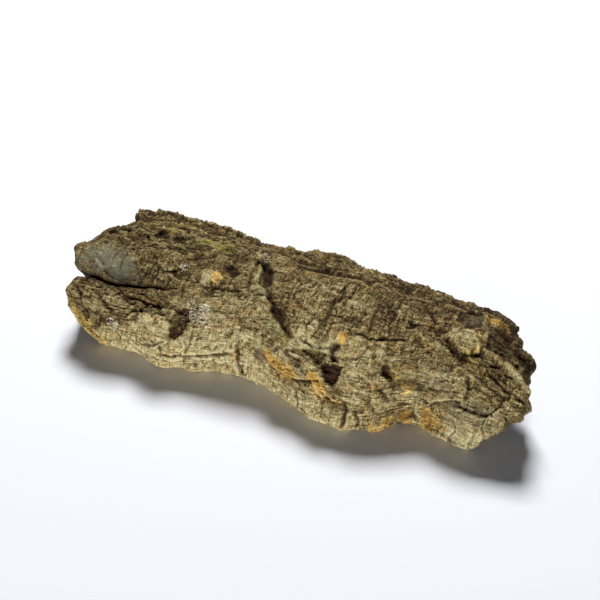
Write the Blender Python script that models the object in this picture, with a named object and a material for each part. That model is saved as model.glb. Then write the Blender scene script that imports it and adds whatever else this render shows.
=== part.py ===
"""A piece of virgin cork bark, grown and broken off as one arched slab.

The slab starts as a plank, cut into a regular grid of faces. The plank is bent over
into an arch that stands on its two long edges, its ends are drawn out to the broken
outlines, and its weathered side gets the crevices, plates and pits of the bark.

The bark lies along X, its weathered side is up, and it stands on z = 0 with its
origin at the middle of its footprint.
"""

import math

import bmesh
import bpy
import numpy as np
from mathutils import Vector

NAME = "cork_bark"
METRES = 0.001  # one millimetre

# Grid of the plank: faces along, across and through the bark
FACES_ALONG = 60
FACES_ACROSS = 30
FACES_THROUGH = 2

# Driving dimensions, in millimetres
RIDGE_Y = 12.0  # the crown of the arch, behind the middle
ARC = 110.0  # from the crown over the weathered side to a foot
FOOT_WIDTH = 26.0  # how wide each long edge stands on the surface
THICKNESS = 38.0  # of the bark at its crown
UNDERSIDE_RISE = 22.0  # the least height of the hollow under the crown
END_ROUNDING = 4.0  # how far the weathered side drops at the broken ends
END_REACH = 7.0  # how far in from an end that drop starts
TUCK = 5.0  # how far a foot is drawn in under the weathered side
TUCK_HEIGHT = 10.0
MARGIN = 0.6  # the least height above the surface of what isn't a foot
SIDE_EASE = 8.0  # over how far the corners of the outlines below are eased
END_EASE = 2.0
FULLNESS = (0.94, 0.86)  # how square the shoulders of the arch are, across and up

# Along X: where the near foot stands, where the far foot stands, how high the crown is
NEAR_FOOT = ((-230, -60), (-165, -69), (-130, -65), (-105, -70), (-85, -64), (-42, -53),
             (-14, -52), (5, -62), (27, -74), (57, -79), (85, -71), (102, -50),
             (117, -44), (137, -51), (160, -57), (230, -50))
FAR_FOOT = ((-230, 86), (-150, 92), (-60, 88), (20, 93), (90, 86), (150, 84), (230, 80))
CROWN = ((-230, 64), (-165, 69), (-110, 70), (-40, 70), (0, 70), (60, 73), (120, 70),
         (180, 64), (230, 58))

# The broken ends, as (place over the arch, x), from the near foot to the far foot
LEFT_END = ((-110, -163), (-99, -172), (-84, -190), (-71, -202), (-56, -207), (-48, -204),
            (-43, -186), (-36, -206), (-20, -213), (-14, -204), (0, -205), (10, -200),
            (30, -182), (45, -195), (60, -197), (75, -186), (95, -181), (110, -178))
RIGHT_END = ((-110, 168), (-99, 175), (-84, 181), (-69, 190), (-52, 203), (-29, 204),
             (-17, 195), (0, 199), (12, 185), (28, 181), (45, 172), (63, 165), (80, 168),
             (95, 160), (110, 156))

# Cracks and crevices: path of (x, place over the arch), depth, half width
CREVICES = (
    (((-200, -43), (-180, -43), (-160, -42), (-140, -40), (-120, -36), (-88, -30)), 8, 8),
    (((-41, 6), (-32, -12), (-22, -30), (-11, -42), (5, -49), (30, -47)), 5, 9),
    (((45, -36), (45, -55), (48, -70)), 4, 8),
)

# Plates: the edge's path, with the raised plate on its left, and how high it stands
PLATE_EDGES = (
    (((62, -82), (46, -79), (40, -70), (22, -77), (0, -80), (-12, -74)), 5),
    (((-38, -105), (-38, -66), (-66, -63), (-97, -76), (-112, -86), (-136, -88)), -3),
    (((-22, 18), (0, 15), (28, 19), (50, 14), (62, 30)), 5),
    (((200, -33), (180, -20), (160, -14)), 4),
)
PLATE_REACH = 16.0  # how far a plate's rise takes to fade out

# Swellings and pits: x, place over the arch, radius along, radius across, height
SWELLINGS = (
    (-178, -22, 34, 16, 4), (-185, -64, 26, 16, 4), (-155, 58, 62, 18, 9),
    (-2, 52, 22, 18, 8), (-77, -18, 8, 7, 4), (141, 1, 14, 10, 4), (92, -103, 9, 8, 5),
    (-60, -38, 34, 20, 3), (40, -96, 26, 12, 3), (-92, -62, 9, 10, -5),
    (46, -63, 11, 11, -6), (89, -50, 8, 5, -5), (-66, -7, 8, 7, -4), (136, 24, 9, 9, -4),
)

# The weathered side's lumps: wavelength and height
LUMPS = ((70.0, 3.0), (34.0, 1.6), (18.0, 0.8))
UNDERSIDE_LUMPS = ((90.0, 2.0), (40.0, 1.0))
LATTICE = 64  # cells of the noise before it repeats
SEED = 11

CORK_COLOUR = (0.20, 0.15, 0.075, 1.0)
CORK_ROUGHNESS = 0.92


def along(places, stations, ease):
    """Reads a curve through (place, value) stations, its corners eased over a reach."""
    table = np.array(stations, float)
    offsets = np.linspace(-ease, ease, 5)
    reads = [np.interp(places + step, table[:, 0], table[:, 1]) for step in offsets]
    return np.mean(reads, axis=0)


def noise(x, y, seed):
    """Smooth value noise from -1 to 1, one cell to a unit."""
    table = np.random.default_rng(seed).uniform(-1.0, 1.0, (LATTICE, LATTICE))
    column, row = np.floor(x).astype(int), np.floor(y).astype(int)
    right, up = x - column, y - row
    right = right * right * (3.0 - 2.0 * right)
    up = up * up * (3.0 - 2.0 * up)
    near = table[column % LATTICE, row % LATTICE]
    beside = table[(column + 1) % LATTICE, row % LATTICE]
    above = table[column % LATTICE, (row + 1) % LATTICE]
    across = table[(column + 1) % LATTICE, (row + 1) % LATTICE]
    lower = near + (beside - near) * right
    upper = above + (across - above) * right
    return lower + (upper - lower) * up


def lumps(x, arc, layers, seed):
    """Adds up layers of noise, each of a wavelength and a height."""
    total = np.zeros_like(x)
    for step, (wavelength, height) in enumerate(layers):
        total += height * noise(x / wavelength, arc / wavelength, seed + step)
    return total


def from_path(x, arc, path):
    """Signed distance from a path of points, positive on its left."""
    best = np.full_like(x, np.inf)
    side = np.ones_like(x)
    for (x0, arc0), (x1, arc1) in zip(path, path[1:]):
        run_x, run_arc = x1 - x0, arc1 - arc0
        part = ((x - x0) * run_x + (arc - arc0) * run_arc) / (run_x ** 2 + run_arc ** 2)
        part = np.clip(part, 0.0, 1.0)
        gap_x, gap_arc = x - x0 - part * run_x, arc - arc0 - part * run_arc
        distance = np.hypot(gap_x, gap_arc)
        closer = distance < best
        best = np.where(closer, distance, best)
        side = np.where(closer, np.sign(run_x * gap_arc - run_arc * gap_x), side)
    return best * side


def relief(x, arc):
    """Height of the weathered side above the smooth arch."""
    height = lumps(x, arc, LUMPS, SEED)
    for path, depth, half_width in CREVICES:
        height -= depth * np.exp(-(from_path(x, arc, path) / half_width) ** 2)
    for path, rise in PLATE_EDGES:
        gap = from_path(x, arc, path)
        height += rise * np.tanh(gap / 3.0) * np.exp(-np.abs(gap) / PLATE_REACH) / 2.0
    for centre_x, centre_arc, radius_x, radius_arc, rise in SWELLINGS:
        spread = ((x - centre_x) / radius_x) ** 2 + ((arc - centre_arc) / radius_arc) ** 2
        height += rise * np.exp(-spread)
    return height


def bend(plank):
    """Bends plank places (along, across and through, each 0 to 1) into the bark."""
    u, v, t = plank[:, 0], plank[:, 1], plank[:, 2]
    arc = ARC * (2.0 * v - 1.0)
    turn = arc / ARC * math.pi / 2.0
    left, right = along(arc, LEFT_END, END_EASE), along(arc, RIGHT_END, END_EASE)
    x = left + (right - left) * u

    # The smooth arch, at the weathered side and at the underside
    near, far = along(x, NEAR_FOOT, SIDE_EASE), along(x, FAR_FOOT, SIDE_EASE)
    crown = along(x, CROWN, SIDE_EASE)
    reach = np.where(turn < 0.0, RIDGE_Y - near, far - RIDGE_Y)
    sine, cosine = np.sin(turn), np.cos(turn)
    out_y = np.sign(sine) * np.abs(sine) ** FULLNESS[0]
    out_z = np.abs(cosine) ** FULLNESS[1]
    under_rise = np.maximum(crown - THICKNESS, UNDERSIDE_RISE)
    under_rise = under_rise + lumps(x, arc, UNDERSIDE_LUMPS, SEED + 20)

    # The weathered side moves out along the arch's normal
    normal_y, normal_z = sine / reach, cosine / crown
    length = np.hypot(normal_y, normal_z)
    end_gap = np.minimum(u, 1.0 - u) * (right - left)
    worn = END_ROUNDING * np.exp(-end_gap / END_REACH)
    height = relief(x, arc) - worn
    skin_y = RIDGE_Y + reach * out_y + height * normal_y / length
    skin_z = crown * out_z + height * normal_z / length
    tuck = TUCK * np.clip(1.0 - skin_z / TUCK_HEIGHT, 0.0, 1.0) ** 2
    skin_y -= np.sign(sine) * tuck

    under_y = RIDGE_Y + (reach - FOOT_WIDTH) * out_y
    under_z = under_rise * out_z
    y = under_y + (skin_y - under_y) * t
    z = under_z + (skin_z - under_z) * t
    on_foot = (v < 1e-6) | (v > 1.0 - 1e-6)
    z = np.where(on_foot, 0.0, np.maximum(z, MARGIN))
    return np.column_stack((x, y, z))


def make_plank():
    """Makes a unit plank and cuts it into the grid of faces."""
    plank = bmesh.new()
    bmesh.ops.create_cube(plank, size=1.0)
    bmesh.ops.translate(plank, vec=(0.5, 0.5, 0.5), verts=plank.verts)
    cuts = ((0, FACES_ALONG), (1, FACES_ACROSS), (2, FACES_THROUGH))
    for axis, count in cuts:
        normal = Vector((0.0, 0.0, 0.0))
        normal[axis] = 1.0
        for step in range(1, count):
            geometry = plank.verts[:] + plank.edges[:] + plank.faces[:]
            bmesh.ops.bisect_plane(plank, geom=geometry, plane_co=normal * (step / count),
                                   plane_no=normal)
    return plank


def cork_material():
    """Weathered cork, dry and dull."""
    material = bpy.data.materials.new("cork")
    material.use_nodes = True
    shader = material.node_tree.nodes["Principled BSDF"]
    shader.inputs["Base Color"].default_value = CORK_COLOUR
    shader.inputs["Roughness"].default_value = CORK_ROUGHNESS
    shader.inputs["Metallic"].default_value = 0.0
    return material


def make_bark():
    """Bends the plank into the bark and stands it over the origin."""
    bark = make_plank()
    places = np.array([vertex.co[:] for vertex in bark.verts])
    points = bend(places)
    middle = (points.min(axis=0) + points.max(axis=0)) / 2.0
    points[:, :2] -= middle[:2]
    for vertex, point in zip(bark.verts, points * METRES):
        vertex.co = point
    bmesh.ops.triangulate(bark, faces=bark.faces)
    mesh = bpy.data.meshes.new(NAME)
    bark.to_mesh(mesh)
    bark.free()
    mesh.materials.append(cork_material())
    mesh.shade_smooth()
    return bpy.data.objects.new(NAME, mesh)


def main():
    """Clears the scene and makes the bark in its collection."""
    for old in list(bpy.data.objects):
        bpy.data.objects.remove(old)
    collection = bpy.data.collections.new("cork_bark_piece")
    bpy.context.scene.collection.children.link(collection)
    collection.objects.link(make_bark())


main()
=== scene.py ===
"""A piece of virgin cork bark lying on a pale studio floor.

The bark is one arched slab. Its weathered side is a relief over a smooth arch: lumps,
plates with broken edges, crevices, pits and the fine cracks of old cork. The same relief
gives the masks that colour it: bleached and brown cork, breaks, lichen and moss, and the
painted shade in its cracks, hollows and under its ledges.

Lengths in the classes below are in millimetres. "x" runs along the bark and "arc" over
it, from the near foot (negative) across the crown (zero) to the far foot (positive).
"""
from __future__ import annotations

import logging
import math
from dataclasses import dataclass, field
from enum import Enum

import bpy
import numpy as np
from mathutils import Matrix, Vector


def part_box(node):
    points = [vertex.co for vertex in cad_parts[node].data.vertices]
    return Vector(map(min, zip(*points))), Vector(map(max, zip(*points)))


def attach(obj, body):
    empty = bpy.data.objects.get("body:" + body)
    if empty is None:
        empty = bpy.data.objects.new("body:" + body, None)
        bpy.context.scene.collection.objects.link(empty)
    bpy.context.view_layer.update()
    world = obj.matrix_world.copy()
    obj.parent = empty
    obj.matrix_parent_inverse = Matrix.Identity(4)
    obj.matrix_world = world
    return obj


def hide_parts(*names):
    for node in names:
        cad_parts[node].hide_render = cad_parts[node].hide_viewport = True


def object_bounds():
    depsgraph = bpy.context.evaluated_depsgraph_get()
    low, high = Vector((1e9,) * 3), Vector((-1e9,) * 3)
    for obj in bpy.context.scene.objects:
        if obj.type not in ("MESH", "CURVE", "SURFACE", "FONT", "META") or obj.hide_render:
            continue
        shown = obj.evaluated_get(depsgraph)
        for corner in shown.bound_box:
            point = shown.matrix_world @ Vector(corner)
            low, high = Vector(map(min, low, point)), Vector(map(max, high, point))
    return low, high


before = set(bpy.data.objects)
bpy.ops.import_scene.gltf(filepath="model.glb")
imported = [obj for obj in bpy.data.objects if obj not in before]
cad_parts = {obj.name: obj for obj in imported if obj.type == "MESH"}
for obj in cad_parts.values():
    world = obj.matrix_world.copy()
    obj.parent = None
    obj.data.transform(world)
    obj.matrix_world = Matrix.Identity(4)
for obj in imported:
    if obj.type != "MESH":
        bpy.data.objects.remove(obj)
CAD_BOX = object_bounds()

METRES = 0.001  # one millimetre
NODE = "cork_bark"
BODY = "root"
LATTICE = 128  # cells of the noise before it repeats
LAYER_SHIFT = 17.3  # cells that each finer wave is moved by, so that they don't line up
GRAIN = "grain"  # attribute with places along, over and into the bark, in millimetres
LOOSE = "loose"  # attribute with how thickly loose shreds lie
# "crack" holds painted shade: in cracks, seams, pores, hollows, sunk blocks and under ledges
MASKS = ("tone", "fresh", "amber", "lichen", "moss", "bloom", "rust", "crack", "shaggy")

Array = np.ndarray
Path = tuple[tuple[float, float], ...]
LOG = logging.getLogger("cork_bark")


def linear(hex_colour: str) -> tuple[float, float, float, float]:
    """Turns an sRGB hex colour into the linear colour that shaders take.

    Args:
        hex_colour: Six hex digits, such as "c8b48a".

    Returns:
        Linear red, green and blue, and full opacity.
    """
    values = [int(hex_colour[step:step + 2], 16) / 255.0 for step in (0, 2, 4)]
    red, green, blue = (
        value / 12.92 if value <= 0.04045 else ((value + 0.055) / 1.055) ** 2.4
        for value in values
    )
    return (red, green, blue, 1.0)


def ramp(value: Array, low: float, high: float) -> Array:
    """Rises smoothly from 0 at low to 1 at high.

    Args:
        value: Numbers to read.
        low: Where the rise starts.
        high: Where it ends, which may be under low.

    Returns:
        Numbers from 0 to 1.
    """
    part = np.clip((value - low) / (high - low), 0.0, 1.0)
    return part * part * (3.0 - 2.0 * part)


def along(places: Array, stations: Path, ease: float) -> Array:
    """Reads a curve through stations, its corners eased over a reach.

    Args:
        places: Where to read it.
        stations: (place, value) pairs in rising order.
        ease: Reach of the easing.

    Returns:
        The curve's values.
    """
    table = np.array(stations, float)
    offsets = np.linspace(-ease, ease, 7)
    reads = [np.interp(places + step, table[:, 0], table[:, 1]) for step in offsets]
    return np.mean(reads, axis=0)


def trace(x: Array, arc: Array, path: Path) -> tuple[Array, Array]:
    """Measures points against a path.

    Args:
        x: Places along the bark.
        arc: Places over it.
        path: (x, arc) points.

    Returns:
        The signed distance, positive on the path's left, and how far along the path the
        nearest place is, from 0 to 1.
    """
    points = np.array(path, float)
    steps = np.hypot(*(points[1:] - points[:-1]).T)
    starts = np.concatenate(([0.0], np.cumsum(steps)))
    best = np.full(x.shape, np.inf)
    side = np.ones(x.shape)
    travelled = np.zeros(x.shape)
    for (x0, arc0), (x1, arc1), step, start in zip(points, points[1:], steps, starts):
        run_x, run_arc = x1 - x0, arc1 - arc0
        part = ((x - x0) * run_x + (arc - arc0) * run_arc) / step ** 2
        part = np.clip(part, 0.0, 1.0)
        gap_x, gap_arc = x - x0 - part * run_x, arc - arc0 - part * run_arc
        distance = np.hypot(gap_x, gap_arc)
        closer = distance < best
        best = np.where(closer, distance, best)
        side = np.where(closer, np.sign(run_x * gap_arc - run_arc * gap_x), side)
        travelled = np.where(closer, start + part * step, travelled)
    return best * side, travelled / starts[-1]


def inside(x: Array, arc: Array, outline: Path) -> Array:
    """Signed distance to an outline, positive inside it.

    Args:
        x: Places along the bark.
        arc: Places over it.
        outline: (x, arc) corners, in order.

    Returns:
        The signed distances.
    """
    closed = tuple(outline) + (outline[0],)
    distance = np.abs(trace(x, arc, closed)[0])
    within = np.zeros(x.shape, bool)
    for (x0, arc0), (x1, arc1) in zip(closed, closed[1:]):
        if arc0 == arc1:
            continue
        crosses = (arc0 > arc) != (arc1 > arc)
        within ^= crosses & (x < (x1 - x0) * (arc - arc0) / (arc1 - arc0) + x0)
    return np.where(within, distance, -distance)


def blurred(heights: Array, reach: int) -> Array:
    """Averages a grid of heights over a square, twice, for a soft result.

    Args:
        heights: The grid.
        reach: Half the square's side, in grid steps.

    Returns:
        The averaged grid.
    """
    result = heights
    for _ in range(2):
        for axis in (0, 1):
            pad = [(0, 0), (0, 0)]
            pad[axis] = (reach + 1, reach)
            sums = np.cumsum(np.pad(result, pad, mode="edge"), axis=axis)
            width = 2 * reach + 1
            count = result.shape[axis]
            high = np.take(sums, np.arange(width, width + count), axis=axis)
            low = np.take(sums, np.arange(0, count), axis=axis)
            result = (high - low) / width
    return result


class Cover(Enum):
    """What a patch of bark is like."""

    PALE = "pale"  # cork scraped or bleached to straw grey
    UMBER = "umber"  # cork browned by damp and dirt
    FRESH = "fresh"  # newly broken cork, straw to orange
    AMBER = "amber"  # older breaks, stained orange-brown
    LICHEN = "lichen"  # whitish crust
    MOSS = "moss"  # yellow-green film of algae
    BLOOM = "bloom"  # smooth blue-grey skin
    RUST = "rust"  # dark red-brown inside breaks
    SHAGGY = "shaggy"  # torn into shreds and scales


@dataclass(frozen=True)
class Grain:
    """Repeatable noise over the bark's surface."""

    seed: int

    def wave(self, x: Array, arc: Array, step: int = 0) -> Array:
        """Smooth noise from -1 to 1, one cell to a unit.

        Args:
            x: Places along, already divided by the wavelength.
            arc: Places over, divided likewise.
            step: Which of this grain's waves.

        Returns:
            The noise.
        """
        random = np.random.default_rng(self.seed * 1000 + step)
        table = random.uniform(-1.0, 1.0, (LATTICE, LATTICE))
        column, row = np.floor(x).astype(int), np.floor(arc).astype(int)
        right, up = x - column, arc - row
        right = right * right * (3.0 - 2.0 * right)
        up = up * up * (3.0 - 2.0 * up)
        near = table[column % LATTICE, row % LATTICE]
        beside = table[(column + 1) % LATTICE, row % LATTICE]
        above = table[column % LATTICE, (row + 1) % LATTICE]
        across = table[(column + 1) % LATTICE, (row + 1) % LATTICE]
        lower = near + (beside - near) * right
        upper = above + (across - above) * right
        return lower + (upper - lower) * up

    def layers(self, x: Array, arc: Array, size: float, count: int,
               stretch: float = 1.0, keep: float = 0.5, step: int = 0) -> Array:
        """Adds finer and finer waves.

        Args:
            x: Places along.
            arc: Places over.
            size: Wavelength of the coarsest wave, over the bark.
            count: How many waves.
            stretch: How much longer the waves are along the bark.
            keep: Height of each wave beside the one before.
            step: The first wave's number.

        Returns:
            The noise, about -1 to 1.
        """
        total = np.zeros(x.shape)
        for layer in range(count):
            scale = size * 0.5 ** layer
            offset = LAYER_SHIFT * layer
            wave = self.wave(x / (scale * stretch) + offset, arc / scale - offset,
                             step + layer)
            total += keep ** layer * wave
        return total

    def cells(self, x: Array, arc: Array, size_x: float, size_arc: float,
              step: int = 0) -> tuple[Array, Array, Array]:
        """Splits the surface into irregular cells, as cracks split bark.

        Args:
            x: Places along.
            arc: Places over.
            size_x: Usual length of a cell.
            size_arc: Usual width of a cell.
            step: Which of this grain's patterns.

        Returns:
            The distance to the nearest crack between cells, each cell's own number from 0
            to 1, and a slope over each cell, about -1 to 1.
        """
        random = np.random.default_rng(self.seed * 1000 + 500 + step)
        jitter = random.uniform(0.1, 0.9, (LATTICE, LATTICE, 2))
        number = random.uniform(0.0, 1.0, (LATTICE, LATTICE))
        q = np.stack((x / size_x, arc / size_arc), -1)
        home = np.floor(q).astype(int)
        first = np.full(x.shape, np.inf)
        second = np.full(x.shape, np.inf)
        first_at = np.zeros(q.shape)
        second_at = np.zeros(q.shape)
        own = np.zeros(x.shape)
        for right in (-1, 0, 1):
            for up in (-1, 0, 1):
                cell = home + (right, up)
                key = cell[..., 0] % LATTICE, cell[..., 1] % LATTICE
                centre = cell + jitter[key]
                distance = ((q - centre) ** 2).sum(-1)
                nearest = distance < first
                runner_up = ~nearest & (distance < second)
                second = np.where(nearest, first, np.where(runner_up, distance, second))
                second_at = np.where(nearest[..., None], first_at, second_at)
                second_at = np.where(runner_up[..., None], centre, second_at)
                first = np.where(nearest, distance, first)
                first_at = np.where(nearest[..., None], centre, first_at)
                own = np.where(nearest, number[key], own)
        gap = second_at - first_at
        middle = (first_at + second_at) / 2.0
        rise = np.hypot(gap[..., 0] / size_x, gap[..., 1] / size_arc)
        crack_gap = np.abs(((middle - q) * gap).sum(-1)) / np.maximum(rise, 1e-6)
        lean = own * 2.0 * math.pi * 7.0
        from_middle = q - first_at
        slope = np.cos(lean) * from_middle[..., 0] + np.sin(lean) * from_middle[..., 1]
        return crack_gap, own, slope


@dataclass(frozen=True)
class Crevice:
    """A crack or crevice that follows a path."""

    path: Path
    depth: float
    half_width: float
    ends: tuple[float, float] = (0.15, 0.15)  # parts of the path over which it fades
    rust: float = 0.0
    sharp: float = 1.6  # over 1 gives it a flatter floor and steeper sides

    def carve(self, x: Array, arc: Array) -> tuple[Array, Array]:
        """Works out how deep the crack cuts.

        Args:
            x: Places along.
            arc: Places over.

        Returns:
            The depth, and how much each place is in the crack, from 0 to 1.
        """
        gap, part = trace(x, arc, self.path)
        fade = ramp(part, -0.01, self.ends[0]) * ramp(part, 1.01, 1.0 - self.ends[1])
        share = np.exp(-(np.abs(gap) / self.half_width) ** self.sharp) * fade
        return self.depth * share, share


@dataclass(frozen=True)
class Ledge:
    """The broken edge of a raised plate, which stands on its path's left."""

    path: Path
    rise: float
    high_reach: float = 16.0  # how far the plate's rise takes to fade
    low_reach: float = 10.0
    fresh: float = 0.0  # how much new cork its lip shows
    lip: float = 2.6  # how wide that lip is
    rust: float = 0.0  # how red the cork under the lip is
    edge: float = 0.7  # half width of the step itself
    high_share: float = 0.55  # part of the rise that lies over the arch
    ends: float = 0.12  # part of the path over which each end fades
    undercut: tuple[float, float] = (-3.6, -1.0)  # where its shade starts and is whole

    def raise_plate(self, x: Array, arc: Array) -> tuple[Array, Array, Array]:
        """Works out the plate's rise and what its edge shows.

        Args:
            x: Places along.
            arc: Places over.

        Returns:
            The height, the share of the lip and the share of the undercut.
        """
        gap, part = trace(x, arc, self.path)
        fade = ramp(part, -0.01, self.ends) * ramp(part, 1.01, 1.0 - self.ends)
        high = np.exp(-np.maximum(gap, 0.0) / self.high_reach) * self.high_share
        low = np.exp(-np.maximum(-gap, 0.0) / self.low_reach) * (self.high_share - 1.0)
        over = ramp(gap, -self.edge, self.edge)
        height = self.rise * fade * (low + (high - low) * over)
        lip = ramp(gap, -self.edge, 0.0) * ramp(gap, self.lip, self.lip * 0.6) * fade
        under = ramp(gap, self.edge * 0.5, -self.edge) * ramp(gap, *self.undercut) * fade
        return height, lip, under


@dataclass(frozen=True)
class Swelling:
    """A rounded lobe, nub or hollow, up or down from the arch."""

    x: float
    arc: float
    radius_x: float
    radius_arc: float
    rise: float
    sharp: float = 1.0  # over 1 gives it a flat top and steep sides
    turn: float = 0.0  # degrees

    def height(self, x: Array, arc: Array) -> Array:
        """Works out the swelling's height.

        Args:
            x: Places along.
            arc: Places over.

        Returns:
            The height at each place.
        """
        angle = math.radians(self.turn)
        along_x = (x - self.x) * math.cos(angle) + (arc - self.arc) * math.sin(angle)
        over = (arc - self.arc) * math.cos(angle) - (x - self.x) * math.sin(angle)
        spread = (along_x / self.radius_x) ** 2 + (over / self.radius_arc) ** 2
        return self.rise * np.exp(-spread ** self.sharp)


@dataclass(frozen=True)
class Block:
    """An outlined piece of the surface that stands proud, or is sunk."""

    outline: Path
    rise: float
    wall: float = 2.2  # how far its side takes to rise
    rust: float = 0.0
    dark: float = 0.6  # how much painted shade fills it, where it is sunk

    def share(self, x: Array, arc: Array) -> Array:
        """How much each place is in the block, from 0 to 1."""
        return ramp(inside(x, arc, self.outline), -0.2 * self.wall, 0.8 * self.wall)


@dataclass(frozen=True)
class Wrinkles:
    """Many fine cracks or folds that run side by side."""

    outline: Path
    spacing: float
    depth: float
    crest: float = 90.0  # direction that they run in, in degrees from the bark's length
    folds: bool = False  # rounded folds in place of cracks
    fill: float = 0.0  # over 0 leaves fewer gaps in them, under 0 more
    wobble: float = 0.75  # how far they wander, beside their spacing
    length: float = 2.2  # how long their whole stretches are, beside their spacing

    def carve(self, x: Array, arc: Array, grain: Grain, step: int) -> tuple[Array, Array]:
        """Works out the wrinkles.

        Args:
            x: Places along.
            arc: Places over.
            grain: Noise that bends and breaks them.
            step: Which of the grain's waves to use.

        Returns:
            The depth, and how much each place is in a crack, from 0 to 1.
        """
        angle = math.radians(self.crest)
        run = x * math.cos(angle) + arc * math.sin(angle)
        across = arc * math.cos(angle) - x * math.sin(angle)
        wobble = grain.layers(x, arc, self.spacing * 3.0, 3, keep=0.55, step=step)
        phase = across / self.spacing + self.wobble * wobble
        part = np.abs((phase - np.floor(phase)) * 2.0 - 1.0)
        number = np.floor(phase)
        # Each crack reads its own stretch of the noise, so that they break off apart
        broken = grain.wave(run / (self.spacing * self.length) + 7.31 * number,
                            number * 0.37, step + 3)
        within = ramp(inside(x, arc, self.outline), -3.0, 5.0)
        if self.folds:
            return self.depth * (1.0 - part) * within, 0.25 * ramp(part, 0.5, 0.0) * within
        width = 0.5 / self.spacing
        share = ramp(part, 3.2 * width, 0.8 * width) * within
        share = share * ramp(broken, 0.1 - self.fill, 0.45 - self.fill)
        return self.depth * share, share


@dataclass(frozen=True)
class Patch:
    """An outlined patch of one cover."""

    cover: Cover
    outline: Path
    strength: float
    edge: float = 3.0  # how wide its border is
    ragged: float = 4.0  # how far its border wanders

    def share(self, x: Array, arc: Array, wander: Array) -> Array:
        """How much each place is in the patch.

        Args:
            x: Places along.
            arc: Places over.
            wander: Noise from -1 to 1 that roughens the border.

        Returns:
            Shares from 0 to the patch's strength.
        """
        gap = inside(x, arc, self.outline) + wander * self.ragged
        return self.strength * ramp(gap, -self.edge, self.edge)


@dataclass(frozen=True)
class Region:
    """What stands out on one stretch of the weathered side."""

    swellings: tuple[Swelling, ...] = ()
    blocks: tuple[Block, ...] = ()
    crevices: tuple[Crevice, ...] = ()
    ledges: tuple[Ledge, ...] = ()
    wrinkles: tuple[Wrinkles, ...] = ()
    patches: tuple[Patch, ...] = ()


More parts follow.
